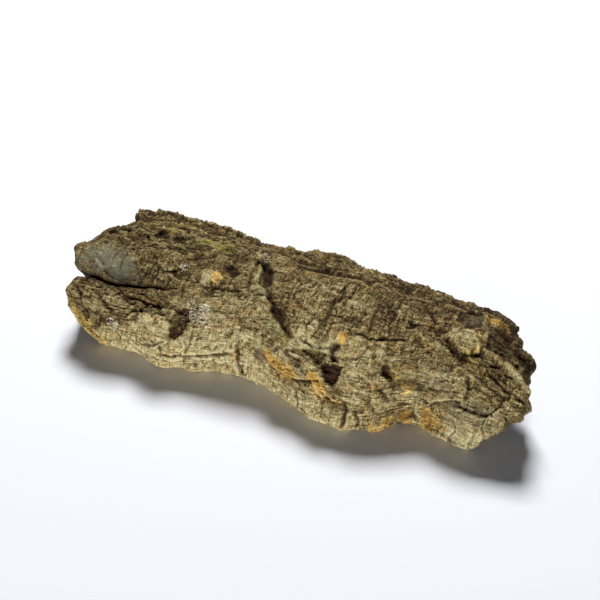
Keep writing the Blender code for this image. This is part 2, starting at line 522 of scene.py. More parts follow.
def left_lobes() -> Region:
    """The two dark lobes at the left end and the crevice between them.

    Returns:
        The stretch's features.
    """
    return Region(
        swellings=(
            Swelling(-178, -20, 36, 15, 5), Swelling(-180, -60, 32, 13, 5),
            Swelling(-124, -14, 30, 12, 3), Swelling(-150, 27, 52, 8, -4.5),
            Swelling(-128, -62, 26, 8, 2.5), Swelling(-66, -9, 7, 5, -6, 1.4, -30),
            Swelling(-60, 2, 12, 8, -2.5, 1.6), Swelling(-88, -21, 12, 6, 2.5),
            Swelling(-104, 8, 16, 6, 2.5),
        ),
        blocks=(
            Block(((-88, -20), (-85, -15), (-77, -14), (-72, -18), (-74, -25), (-84, -27)), 5.5,
                3.4),
        ),
        crevices=(
            Crevice(((-214, -43), (-196, -44), (-180, -44), (-160, -43), (-140, -41), (-120, -37),
                (-104, -34), (-84, -30)), 4, 1.6, (0, 0.5), 0.3),
            Crevice(((-214, -44), (-180, -45), (-140, -41), (-104, -34), (-80, -30)), 3, 8,
                (0, 0.6)),
            Crevice(((-46, 11), (-43, 5), (-37, 0), (-34, -8), (-30, -15)), 7, 3.4, (0.2, 0.25),
                0.5),
            Crevice(((-180, -55), (-168, -58), (-158, -64), (-150, -70)), 2.6, 1.3),
            Crevice(((-150, -52), (-134, -54), (-118, -52), (-106, -55)), 2.2, 1.2),
            Crevice(((-196, -56), (-188, -62), (-184, -72)), 2, 1.2),
            Crevice(((-196, 8), (-180, 4), (-168, 6)), 2, 1.4),
            Crevice(((-110, 24), (-90, 20), (-70, 22), (-58, 16)), 2.4, 1.6),
            Crevice(((-150, 10), (-134, 6), (-120, 10)), 1.8, 1.2),
            Crevice(((-186, 40), (-160, 38), (-130, 42), (-96, 38), (-60, 42)), 2.6, 1.3),
            Crevice(((-180, 52), (-150, 49), (-110, 53), (-70, 50), (-30, 46)), 2.4, 1.2),
            Crevice(((-174, 25), (-150, 22), (-128, 27), (-104, 24)), 2.4, 1.2),
            Crevice(((-176, 0), (-160, -4), (-136, 1), (-112, -3)), 1.6, 1.1),
        ),
        ledges=(
            Ledge(((-92, -25), (-82, -28), (-72, -26), (-68, -20)), 2.4, low_reach=5),
            Ledge(((-60, 38), (-100, 32), (-140, 30), (-190, 30)), 5, edge=1.2),
            Ledge(((-40, -16), (-42, -8), (-45, 4), (-50, 14), (-60, 20)), 4, fresh=0.22, lip=4),
            Ledge(((-200, -6), (-180, -8), (-164, -4), (-150, -8)), 1.6),
            Ledge(((-170, 18), (-150, 14), (-130, 18), (-112, 14)), 1.8),
        ),
        wrinkles=(
            Wrinkles(((-142, -40), (-138, -16), (-104, -14), (-100, -34)), 4.6, 1.5, 78,
                folds=True),
            Wrinkles(((-196, -50), (-196, -72), (-104, -74), (-96, -46), (-110, -40)), 4.2, 1.5, 32,
                fill=0.3),
            Wrinkles(((-196, -12), (-196, -38), (-152, -36), (-152, -12)), 4, 0.4, 84),
        ),
        patches=(
            Patch(Cover.UMBER, ((-214, -44), (-196, -46), (-158, -44), (-158, -2), (-206, -2)),
                0.28, 6, 6),
            Patch(Cover.UMBER, ((-172, -62), (-92, -62), (-92, -96), (-158, -96)), 0.14, 6, 6),
            Patch(Cover.BLOOM, ((-196, -34), (-188, -38), (-168, -40), (-152, -36), (-156, -24),
                (-176, -18), (-194, -20)), 0.9, 9, 6),
            Patch(Cover.UMBER, ((-205, 0), (-150, -38), (-90, -32), (-50, -12), (-44, 14),
                (-150, 16), (-205, 40)), 0.62, 8, 8),
            Patch(Cover.UMBER, ((-200, -50), (-120, -44), (-92, -50), (-100, -62), (-150, -68),
                (-196, -60)), 0.2, 6, 5),
            Patch(Cover.UMBER, ((-72, 12), (-70, -10), (-52, -8), (-46, 6), (-56, 14)), 0.55, 3, 3),
            Patch(Cover.LICHEN, ((-111, -14), (-106, -12), (-105, -17), (-110, -18)), 0.55, 2.5),
            Patch(Cover.LICHEN, ((-60, 14), (-50, 20), (-40, 12), (-46, 4)), 0.45, 4, 4),
            Patch(Cover.MOSS, ((-112, 4), (-80, 8), (-74, 20), (-116, 18)), 0.8, 5, 6),
            Patch(Cover.MOSS, ((-150, 18), (-130, 15), (-126, 24), (-150, 27)), 0.7, 3),
            Patch(Cover.MOSS, ((-170, 30), (-120, 28), (-80, 34), (-120, 40), (-168, 38)), 0.4, 4,
                6),
            Patch(Cover.MOSS, ((-182, 10), (-166, 12), (-168, 20), (-182, 18)), 0.55, 4),
            Patch(Cover.MOSS, ((-50, 10), (-44, 8), (-40, -14), (-47, -14)), 0.75, 2.5, 3),
            Patch(Cover.FRESH, ((-79, -15), (-74, -15), (-70, -19), (-73, -26), (-77, -26)), 0.95,
                1, 1),
            Patch(Cover.PALE, ((-90, -20), (-86, -14), (-78, -14), (-76, -26), (-86, -28)), 0.7, 2,
                1),
            Patch(Cover.FRESH, ((-198, 46), (-186, 44), (-186, 58), (-198, 60)), 0.4, 3),
            Patch(Cover.SHAGGY, ((-206, -4), (-150, -8), (-100, -6), (-60, 14), (-60, 50),
                (-200, 60)), 1, 8),
            Patch(Cover.SHAGGY, ((-204, -48), (-204, -80), (-150, -76), (-104, -64), (-100, -44)),
                0.8, 6),
            Patch(Cover.RUST, ((-134, -39), (-110, -34), (-90, -27), (-94, -33), (-124, -42)), 0.35,
                2, 2),
        ),
    )


def pale_flank() -> Region:
    """The bleached near flank: the pale band, the block above it and the left foot.

    Returns:
        The stretch's features.
    """
    return Region(
        swellings=(
            Swelling(-60, -38, 34, 20, 3.5), Swelling(-74, -54, 9, 6, 1.6),
        ),
        blocks=(
            Block(((-101, -60), (-94, -48), (-87, -50), (-84, -60), (-87, -70), (-94, -78),
                (-98, -76)), -2.8, 1.2, 0.3, 0.2),
        ),
        crevices=(
            Crevice(((-38, -14), (-28, -20), (-21, -30), (-18, -38), (-10, -43), (2, -49),
                (12, -50)), 1.4, 1.4, rust=0.6),
            Crevice(((-112, -92), (-94, -93), (-80, -91), (-66, -90), (-52, -86), (-40, -83)), 2.4,
                1),
            Crevice(((-39, -64), (-41, -74), (-39, -86), (-36, -96), (-30, -107)), 2.6, 1.2),
            Crevice(((-100, -78), (-110, -86), (-124, -92)), 1.8, 1),
            Crevice(((-76, -27), (-60, -27), (-48, -24)), 1.4, 1),
            Crevice(((-80, -66), (-79, -74), (-81, -88)), 1.2, 0.8),
        ),
        ledges=(
            Ledge(((-96, -61), (-110, -60), (-124, -61), (-138, -66), (-144, -74)), 3.2, fresh=0.25,
                lip=1.6),
            Ledge(((-84, -66), (-76, -66), (-66, -62), (-50, -58), (-40, -57)), 1.8),
            Ledge(((6, -50), (-8, -45), (-12, -41), (-20, -38), (-20, -31), (-26, -27), (-27, -20),
                (-36, -18), (-42, -13)), 5, 22, 12, fresh=0.35, lip=2.4),
            Ledge(((-34, -106), (-38, -92), (-41, -78), (-38, -65)), 2.2),
            Ledge(((-124, -80), (-112, -90), (-104, -84), (-97, -77)), 2.4),
            Ledge(((-150, -84), (-140, -92), (-124, -98), (-112, -94)), 1.8),
            Ledge(((-180, -84), (-168, -92), (-156, -98), (-150, -104)), 2),
        ),
        wrinkles=(
            Wrinkles(((-150, -74), (-150, -108), (-24, -108), (-26, -60), (-44, -59), (-80, -70),
                (-104, -82)), 7.5, 1.5, 88, fill=-0.1),
            Wrinkles(((-78, -19), (-76, -36), (-30, -34), (-34, -19)), 2.7, 0.8, 4, fill=0.2),
            Wrinkles(((-140, -84), (-60, -88), (-20, -80), (-20, -106), (-140, -106)), 6, 1, 3),
        ),
        patches=(
            Patch(Cover.PALE, ((-176, -112), (-164, -84), (-140, -78), (-122, -68), (-98, -62),
                (-98, -78), (-88, -78), (-82, -67), (-66, -62), (-50, -59), (-38, -58), (-20, -62),
                (-14, -74), (0, -84), (12, -112)), 0.9, 2, 2.5),
            Patch(Cover.UMBER, ((-190, -84), (-176, -70), (-150, -66), (-118, -72), (-104, -84),
                (-140, -94), (-170, -104)), 0.62, 6, 6),
            Patch(Cover.PALE, ((-100, -62), (-120, -65), (-130, -70), (-100, -76)), 0.7, 3),
            Patch(Cover.PALE, ((-78, -50), (-70, -28), (-42, -18), (-28, -21), (-22, -32),
                (-20, -40), (-4, -47), (0, -62), (-20, -64), (-50, -58)), 0.14, 3),
            Patch(Cover.LICHEN, ((-87, -45), (-74, -42), (-66, -50), (-70, -57), (-62, -60),
                (-74, -64), (-85, -58)), 0.5, 3.5, 5),
            Patch(Cover.LICHEN, ((-160, -74), (-150, -71), (-147, -80), (-154, -85)), 0.42, 3),
            Patch(Cover.MOSS, ((-206, -70), (-196, -68), (-180, -82), (-162, -96), (-158, -112),
                (-206, -112)), 0.9, 3, 5),
            Patch(Cover.MOSS, ((-4, -47), (2, -48), (3, -57), (-2, -57)), 1, 1.6, 1.5),
            Patch(Cover.MOSS, ((-20, -60), (-10, -60), (-14, -74), (-22, -72)), 0.35, 3),
            Patch(Cover.FRESH, ((-210, -66), (-198, -68), (-184, -82), (-160, -98), (-160, -112),
                (-210, -112)), 0.55, 4, 8),
            Patch(Cover.AMBER, ((-210, -60), (-194, -64), (-178, -80), (-156, -96), (-156, -112),
                (-210, -112)), 0.5, 4, 8),
            Patch(Cover.UMBER, ((-99, -60), (-94, -49), (-87, -51), (-85, -68), (-92, -76)), 0.5, 2,
                1),
        ),
    )


def middle_plates() -> Region:
    """The woven plate right of the middle, its broken ledge and the pits under it.

    Returns:
        The stretch's features.
    """
    return Region(
        swellings=(
            Swelling(10, -14, 34, 26, 2), Swelling(-12, -34, 7, 6, -2),
            Swelling(40, -96, 26, 12, 3), Swelling(92, -103, 8, 8, 5, 1.6),
            Swelling(27, -63, 8, 5, 3, 1.5), Swelling(70, -66, 14, 9, 2),
            Swelling(-2, -60, 8, 5, -1.5),
        ),
        blocks=(
            Block(((44, -31), (49, -29), (53, -34), (50, -40), (44, -38)), 5, 2.6),
            Block(((29, -66), (36, -64), (42, -69), (48, -77), (47, -83), (42, -83), (36, -77),
                (29, -72)), 2.6, 1.6),
            Block(((-14, -70), (-4, -73), (8, -76), (8, -82), (-2, -82), (-12, -76)), 2, 1.6),
            Block(((36, -60), (43, -55), (54, -53), (55, -60), (53, -73), (47, -70), (41, -66)), -5,
                2, 1, 0.25),
            Block(((83, -45), (89, -45), (98, -54), (97, -59), (90, -57)), -4.5, 1.8, 0.6, 0.4),
        ),
        crevices=(
            Crevice(((12, -49), (20, -47), (29, -48), (44, -43)), 1.2, 0.9),
            Crevice(((52, -29), (60, -27), (68, -29), (84, -24), (98, -22)), 2.2, 1),
            Crevice(((47, -38), (44, -46), (47, -54)), 5, 2.2, rust=1),
            Crevice(((20, -86), (24, -96), (22, -106)), 2, 1.1),
            Crevice(((60, -78), (66, -90), (64, -106)), 3.6, 1.7, rust=0.3),
            Crevice(((86, -66), (92, -73), (99, -82)), 2.8, 1.3),
            Crevice(((28, 12), (31, -2), (27, -8), (29, -20), (24, -38)), 1.6, 1.4),
            Crevice(((66, -1), (64, -14), (66, -26)), 1.6, 1),
            Crevice(((80, 2), (78, -12), (82, -24)), 1.6, 1),
            Crevice(((72, -88), (78, -96), (76, -106)), 2.4, 1.2),
        ),
        ledges=(
            Ledge(((54, 12), (42, 17), (30, 19), (18, 15), (6, 18), (-12, 16)), 3, high_reach=8,
                low_reach=4, fresh=0.6, lip=1.6),
            Ledge(((-14, -72), (-6, -77), (0, -80), (10, -79), (16, -78), (22, -77), (32, -71),
                (38, -69), (42, -73), (46, -79), (54, -83), (66, -82)), 6, fresh=0.55, lip=2.6,
                rust=1),
            Ledge(((76, -38), (84, -46), (92, -52), (99, -60)), 3, fresh=0.3, lip=1.4),
            Ledge(((60, -60), (72, -57), (82, -64), (84, -78), (92, -92)), 2.4),
            Ledge(((8, -52), (22, -50), (34, -49), (46, -44)), 1.4),
            Ledge(((2, -58), (14, -62), (24, -58), (34, -60)), 1.8),
            Ledge(((-8, -70), (4, -68), (16, -72)), 1.4),
        ),
        wrinkles=(
            Wrinkles(((-14, 8), (-18, -20), (-4, -42), (26, -46), (50, -34), (100, -22), (104, 8),
                (60, 14)), 7, 2, 90, fill=0.2),
            Wrinkles(((-14, 10), (-18, -20), (-4, -42), (26, -46), (50, -34), (100, -22), (104, 10),
                (60, 16)), 2.9, 0.7, 3, fill=0.1),
            Wrinkles(((4, -84), (22, -82), (40, -76), (62, -86), (66, -110), (4, -110)), 8, 1.4, 70,
                fill=0.1),
            Wrinkles(((60, -30), (100, -24), (118, -40), (112, -60), (60, -54)), 6, 1, 96),
        ),
        patches=(
            Patch(Cover.PALE, ((-4, -12), (10, -10), (22, -14), (26, -30), (18, -44), (2, -42)),
                0.3, 5, 5),
            Patch(Cover.PALE, ((-28, -56), (20, -52), (60, -56), (118, -42), (196, -50),
                (190, -110), (-28, -110)), 0.34, 6, 6),
            Patch(Cover.PALE, ((6, -86), (22, -82), (34, -76), (48, -84), (64, -88), (70, -112),
                (4, -112)), 0.7, 1.5),
            Patch(Cover.PALE, ((58, -58), (76, -54), (84, -66), (84, -84), (96, -100), (60, -110)),
                0.6, 3, 4),
            Patch(Cover.PALE, ((36, -4), (46, 2), (60, -2), (62, -18), (48, -26), (36, -22)), 0.25,
                4, 5),
            Patch(Cover.PALE, ((4, -40), (30, -42), (60, -32), (78, -34), (84, -56), (60, -58),
                (30, -58), (4, -56)), 0.75, 5, 6),
            Patch(Cover.PALE, ((86, -14), (126, -12), (126, -44), (86, -42)), 0.3, 5, 6),
            Patch(Cover.FRESH, ((56, -54), (84, -58), (84, -84), (60, -88)), 0.16, 4, 6),
            Patch(Cover.FRESH, ((-14, -50), (20, -52), (34, -58), (36, -68), (8, -76), (-10, -70)),
                0.22, 4, 6),
            Patch(Cover.UMBER, ((-18, -24), (-6, -24), (-4, -42), (-14, -42)), 0.4, 3, 3),
            Patch(Cover.UMBER, ((34, 14), (60, 14), (100, 8), (60, -2), (34, 4)), 0.3, 5, 5),
            Patch(Cover.UMBER, ((84, 4), (124, 6), (126, 40), (80, 36)), 0.5, 6, 5),
            Patch(Cover.FRESH, ((46, -30), (51, -32), (51, -38), (46, -39)), 0.9, 1.4, 1.2),
            Patch(Cover.FRESH, ((48, -42), (53, -42), (54, -54), (50, -54)), 0.45, 1.6, 2.5),
            Patch(Cover.FRESH, ((22, -59), (33, -60), (33, -68), (24, -67)), 0.4, 3, 4),
            Patch(Cover.FRESH, ((-18, -67), (-6, -69), (6, -73), (20, -73), (23, -78), (12, -82),
                (4, -87), (-8, -83), (-15, -76)), 0.95, 1.2, 2.4),
            Patch(Cover.FRESH, ((29, -66), (36, -64), (42, -69), (47, -77), (47, -82), (42, -82),
                (37, -77), (29, -71)), 1, 1.2, 1.4),
            Patch(Cover.FRESH, ((50, -80), (64, -82), (67, -86), (56, -86)), 0.8, 1.2, 1.6),
            Patch(Cover.FRESH, ((86, -52), (94, -53), (98, -60), (91, -59)), 0.7, 1.5, 1.5),
            Patch(Cover.AMBER, ((85, -98), (98, -96), (99, -112), (85, -112)), 0.8, 2.5, 4),
            Patch(Cover.FRESH, ((88, -102), (95, -100), (95, -108), (88, -108)), 0.5, 2),
            Patch(Cover.AMBER, ((84, -46), (92, -48), (99, -58), (92, -62), (86, -54)), 0.7, 1.5,
                2),
            Patch(Cover.FRESH, ((18, -102), (26, -100), (28, -112), (16, -112)), 0.3, 3),
            Patch(Cover.FRESH, ((103, -64), (111, -65), (111, -74), (104, -74)), 0.6, 2.2, 3),
            Patch(Cover.RUST, ((38, -59), (52, -55), (55, -76), (46, -71)), 0.95, 2, 2),
            Patch(Cover.RUST, ((-14, -80), (0, -84), (12, -84), (26, -82), (20, -87), (-6, -90)),
                0.55, 2, 4),
            Patch(Cover.RUST, ((-24, -72), (-16, -68), (-12, -76), (-14, -84), (-24, -80)), 0.9,
                1.5, 2),
            Patch(Cover.RUST, ((-24, -20), (-14, -22), (-6, -38), (2, -46), (-8, -44), (-18, -38),
                (-21, -30)), 0.45, 2, 3),
            Patch(Cover.SHAGGY, ((-12, -50), (40, -48), (60, -54), (80, -60), (90, -112), (0, -112),
                (-20, -80)), 0.55, 5),
            Patch(Cover.MOSS, ((58, -32), (66, -30), (68, -42), (60, -42)), 0.4, 3),
        ),
    )


def right_plates() -> Region:
    """The right end: the nub, the pale ridge, the torn end and the front foot.

    Returns:
        The stretch's features.
    """
    return Region(
        swellings=(
            Swelling(107, -69, 6, 5, 1.8, 1.5), Swelling(184, -22, 26, 3.6, 4, 1.2, -24),
            Swelling(108, -19, 9, 3, 3, 1.2, -38), Swelling(112, -98, 6, 5, -3, 1.5),
            Swelling(132, -96, 11, 8, -2.5, 2), Swelling(135, -52, 20, 9, 2.2),
            Swelling(175, 14, 12, 8, -3.5), Swelling(168, -78, 26, 20, 2.5),
            Swelling(150, -18, 6, 4, -2.5, 1.4), Swelling(166, 4, 7, 8, -2.5),
        ),
        blocks=(
            Block(((121, -10), (127, -3), (134, 1), (145, 1), (151, -4), (153, -12), (147, -19),
                (140, -23), (130, -17)), 4.6, 2.6),
            Block(((124, 20), (130, 33), (141, 36), (148, 22), (148, 8), (140, 4), (128, 6)), -2.6,
                1.6, 0.15, 0.3),
        ),
        crevices=(
            Crevice(((118, -14), (124, -19), (129, -20), (136, -26), (143, -28)), 1.6, 1.2),
            Crevice(((152, -42), (154, -50), (155, -62)), 2.6, 1.3),
            Crevice(((122, -66), (135, -62), (150, -58)), 1.4, 0.8),
            Crevice(((164, -28), (176, -36), (188, -42), (202, -46)), 2.4, 1.2),
            Crevice(((104, 12), (108, 4), (114, -3)), 2.8, 1.2),
            Crevice(((90, -4), (93, -7), (97, -12)), 2, 1.2),
            Crevice(((158, 30), (166, 22), (172, 10)), 3, 1.8, rust=0.6),
            Crevice(((176, -2), (188, -6), (202, -12)), 2.6, 1.6),
        ),
        ledges=(
            Ledge(((116, -88), (124, -82), (133, -75), (141, -68), (154, -64)), 3.6),
            Ledge(((156, -60), (154, -50), (153, -42)), 1.8),
            Ledge(((150, -32), (143, -27), (132, -23), (120, -13)), 2),
            Ledge(((158, -8), (155, 4), (150, 18), (146, 34)), 4, fresh=0.25),
            Ledge(((180, 36), (172, 18), (176, 4), (188, -6)), 3),
            Ledge(((200, -62), (190, -66), (182, -76), (178, -90)), 0.8),
            Ledge(((98, -22), (106, -14), (116, -26)), 2, fresh=0.3),
        ),
        wrinkles=(
            Wrinkles(((138, -68), (156, -62), (200, -54), (200, -86), (176, -108), (138, -110)),
                7.5, 3.2, 88, fill=0.25),
            Wrinkles(((118, -40), (150, -40), (150, -62), (116, -76)), 6.5, 0.9, 20),
            Wrinkles(((156, -26), (200, -38), (200, -58), (158, -60)), 5.5, 1.2, 94, fill=0.1),
            Wrinkles(((100, 12), (126, 10), (124, -12), (100, -18)), 6, 1.2, 100),
            Wrinkles(((160, 12), (196, 12), (204, -16), (160, -12)), 5, 1.6, 70, fill=0.2),
        ),
        patches=(
            Patch(Cover.PALE, ((140, -70), (156, -64), (180, -60), (186, -68), (176, -108),
                (140, -108)), 0.5, 3, 4),
            Patch(Cover.PALE, ((112, -44), (130, -40), (148, -42), (152, -58), (128, -64),
                (114, -70)), 0.4, 4, 5),
            Patch(Cover.PALE, ((160, -12), (170, -14), (206, -30), (206, -38), (186, -30)), 0.7, 2,
                2.5),
            Patch(Cover.PALE, ((102, -14), (106, -14), (115, -24), (112, -30)), 0.9, 1.5, 2),
            Patch(Cover.PALE, ((122, -10), (132, -1), (146, 0), (152, -8), (142, -21)), 0.45, 2, 2),
            Patch(Cover.UMBER, ((156, 40), (156, 4), (172, -8), (206, -14), (206, 20), (170, 50)),
                0.85, 4, 4),
            Patch(Cover.UMBER, ((124, 5), (148, 5), (150, 40), (124, 40)), 0.4, 3, 2),
            Patch(Cover.BLOOM, ((132, 8), (148, 8), (150, 34), (134, 32)), 0.3, 3, 4),
            Patch(Cover.PALE, ((146, 35), (163, 36), (169, 25), (156, 18), (147, 22)), 0.9, 2, 2),
            Patch(Cover.PALE, ((136, -30), (158, -34), (158, -60), (136, -60)), 0.3, 4, 5),
            Patch(Cover.UMBER, ((98, 12), (122, 12), (120, -16), (98, -10)), 0.25, 4, 5),
            Patch(Cover.UMBER, ((152, -8), (178, -6), (178, -32), (156, -28)), 0.4, 4, 5),
            Patch(Cover.UMBER, ((186, -86), (206, -50), (212, -80), (196, -112), (176, -108)), 0.5,
                4, 4),
            Patch(Cover.PALE, ((150, -64), (184, -58), (186, -84), (170, -94), (150, -94)), 0.25, 4,
                5),
            Patch(Cover.MOSS, ((118, -82), (132, -80), (142, -86), (143, -112), (118, -112)), 0.25,
                4, 5),
            Patch(Cover.MOSS, ((140, -44), (152, -44), (150, -56), (138, -54)), 0.45, 3),
            Patch(Cover.MOSS, ((104, -15), (110, -17), (116, -28), (110, -26)), 0.6, 1.6),
            Patch(Cover.FRESH, ((102, -14), (108, -16), (116, -28), (110, -28)), 0.6, 1.2, 1.6),
            Patch(Cover.FRESH, ((146, 1), (151, -1), (155, -10), (153, -17), (150, -18), (151, -9)),
                0.8, 1.2, 1.5),
            Patch(Cover.MOSS, ((143, -17), (150, -19), (156, -26), (146, -30)), 0.6, 1.6, 2),
            Patch(Cover.FRESH, ((150, 32), (158, 32), (160, 26), (152, 24)), 0.45, 2, 3),
            Patch(Cover.AMBER, ((146, 35), (163, 36), (169, 25), (156, 18), (147, 22)), 1, 2, 2),
            Patch(Cover.AMBER, ((160, 22), (174, 18), (180, 6), (164, 10)), 0.6, 3, 6),
            Patch(Cover.FRESH, ((146, -22), (157, -22), (158, -31), (147, -32)), 0.55, 2),
            Patch(Cover.BLOOM, ((136, -66), (156, -62), (188, -62), (180, -108), (144, -108)), 0.34,
                4, 6),
            Patch(Cover.BLOOM, ((112, -40), (146, -42), (150, -58), (114, -64)), 0.2, 5, 6),
            Patch(Cover.AMBER, ((107, -91), (116, -91), (118, -107), (107, -107)), 0.8, 2.5),
            Patch(Cover.FRESH, ((110, -94), (115, -94), (115, -100), (110, -100)), 0.4, 2),
            Patch(Cover.UMBER, ((88, -86), (118, -84), (118, -110), (88, -110)), 0.2, 5, 5),
            Patch(Cover.AMBER, ((119, -83), (138, -85), (143, -104), (122, -109)), 0.75, 3, 5),
            Patch(Cover.FRESH, ((122, -86), (132, -88), (132, -98), (122, -98)), 0.3, 3, 5),
            Patch(Cover.RUST, ((158, 26), (174, 34), (178, 20), (162, 12)), 0.5, 3, 4),
            Patch(Cover.SHAGGY, ((154, 40), (154, -8), (206, -16), (206, 20)), 1, 4),
            Patch(Cover.SHAGGY, ((96, -58), (120, -76), (142, -84), (142, -112), (96, -112)), 0.7,
                4),
        ),
    )


def far_side() -> Region:
    """The crown's far half and the far flank: dark, lumpy and torn.

    Returns:
        The stretch's features.
    """
    return Region(
        swellings=(
            Swelling(-155, 54, 62, 16, 5.5), Swelling(-2, 50, 20, 16, 8, 1.6),
            Swelling(60, 44, 16, 7, 2.5), Swelling(96, 42, 12, 8, 2.5),
            Swelling(128, 44, 12, 7, 3.5), Swelling(80, 62, 40, 14, 3),
            Swelling(-90, 84, 30, 12, 3), Swelling(130, 80, 20, 12, -3),
        ),
        crevices=(
            Crevice(((2, 26), (14, 24), (26, 22), (36, 25)), 3, 1.4, rust=0.4),
            Crevice(((40, 30), (60, 26), (84, 24), (104, 28)), 3, 1.8),
            Crevice(((-60, 70), (-20, 66), (30, 72), (90, 66)), 4, 2),
            Crevice(((-190, 76), (-140, 84), (-90, 72)), 4, 2),
            Crevice(((120, 96), (150, 78), (176, 74)), 3, 1.6),
        ),
        ledges=(
            Ledge(((-22, 22), (-8, 23), (4, 27), (14, 25), (26, 22), (36, 25), (46, 23), (62, 32)),
                3.4, 10, 6),
            Ledge(((98, 48), (70, 42), (40, 44), (12, 50)), 2.4),
            Ledge(((150, 84), (100, 78), (40, 84), (-20, 76), (-90, 84), (-160, 76)), 3),
            Ledge(((-20, 56), (-60, 60), (-110, 56), (-160, 64)), 2.4),
            Ledge(((60, 96), (20, 92), (-40, 98), (-100, 94)), 2.4),
            Ledge(((40, 44), (52, 50), (66, 44), (72, 36)), 2),
        ),
        wrinkles=(
            Wrinkles(((-190, 60), (-190, 110), (160, 110), (150, 60)), 8, 1.6, 86),
            Wrinkles(((-190, 40), (-190, 108), (160, 108), (150, 40)), 5, 1.3, 2, fill=0.1),
        ),
        patches=(
            Patch(Cover.UMBER, ((-230, 14), (-150, 18), (-90, 10), (-40, 24), (70, 30), (150, 28),
                (200, 40), (200, 120), (-230, 120)), 0.6, 10, 8),
            Patch(Cover.SHAGGY, ((-230, 24), (-40, 28), (70, 30), (200, 30), (200, 120),
                (-230, 120)), 0.9, 8),
            Patch(Cover.MOSS, ((34, 36), (60, 40), (58, 52), (34, 50)), 0.5, 5, 5),
            Patch(Cover.MOSS, ((-140, 60), (-60, 70), (-80, 90), (-150, 84)), 0.5, 8, 8),
            Patch(Cover.PALE, ((-40, 84), (60, 80), (120, 92), (60, 112), (-60, 112)), 0.4, 8, 8),
            Patch(Cover.LICHEN, ((-30, 70), (-10, 72), (-6, 84), (-34, 82)), 0.5, 5, 6),
        ),
    )


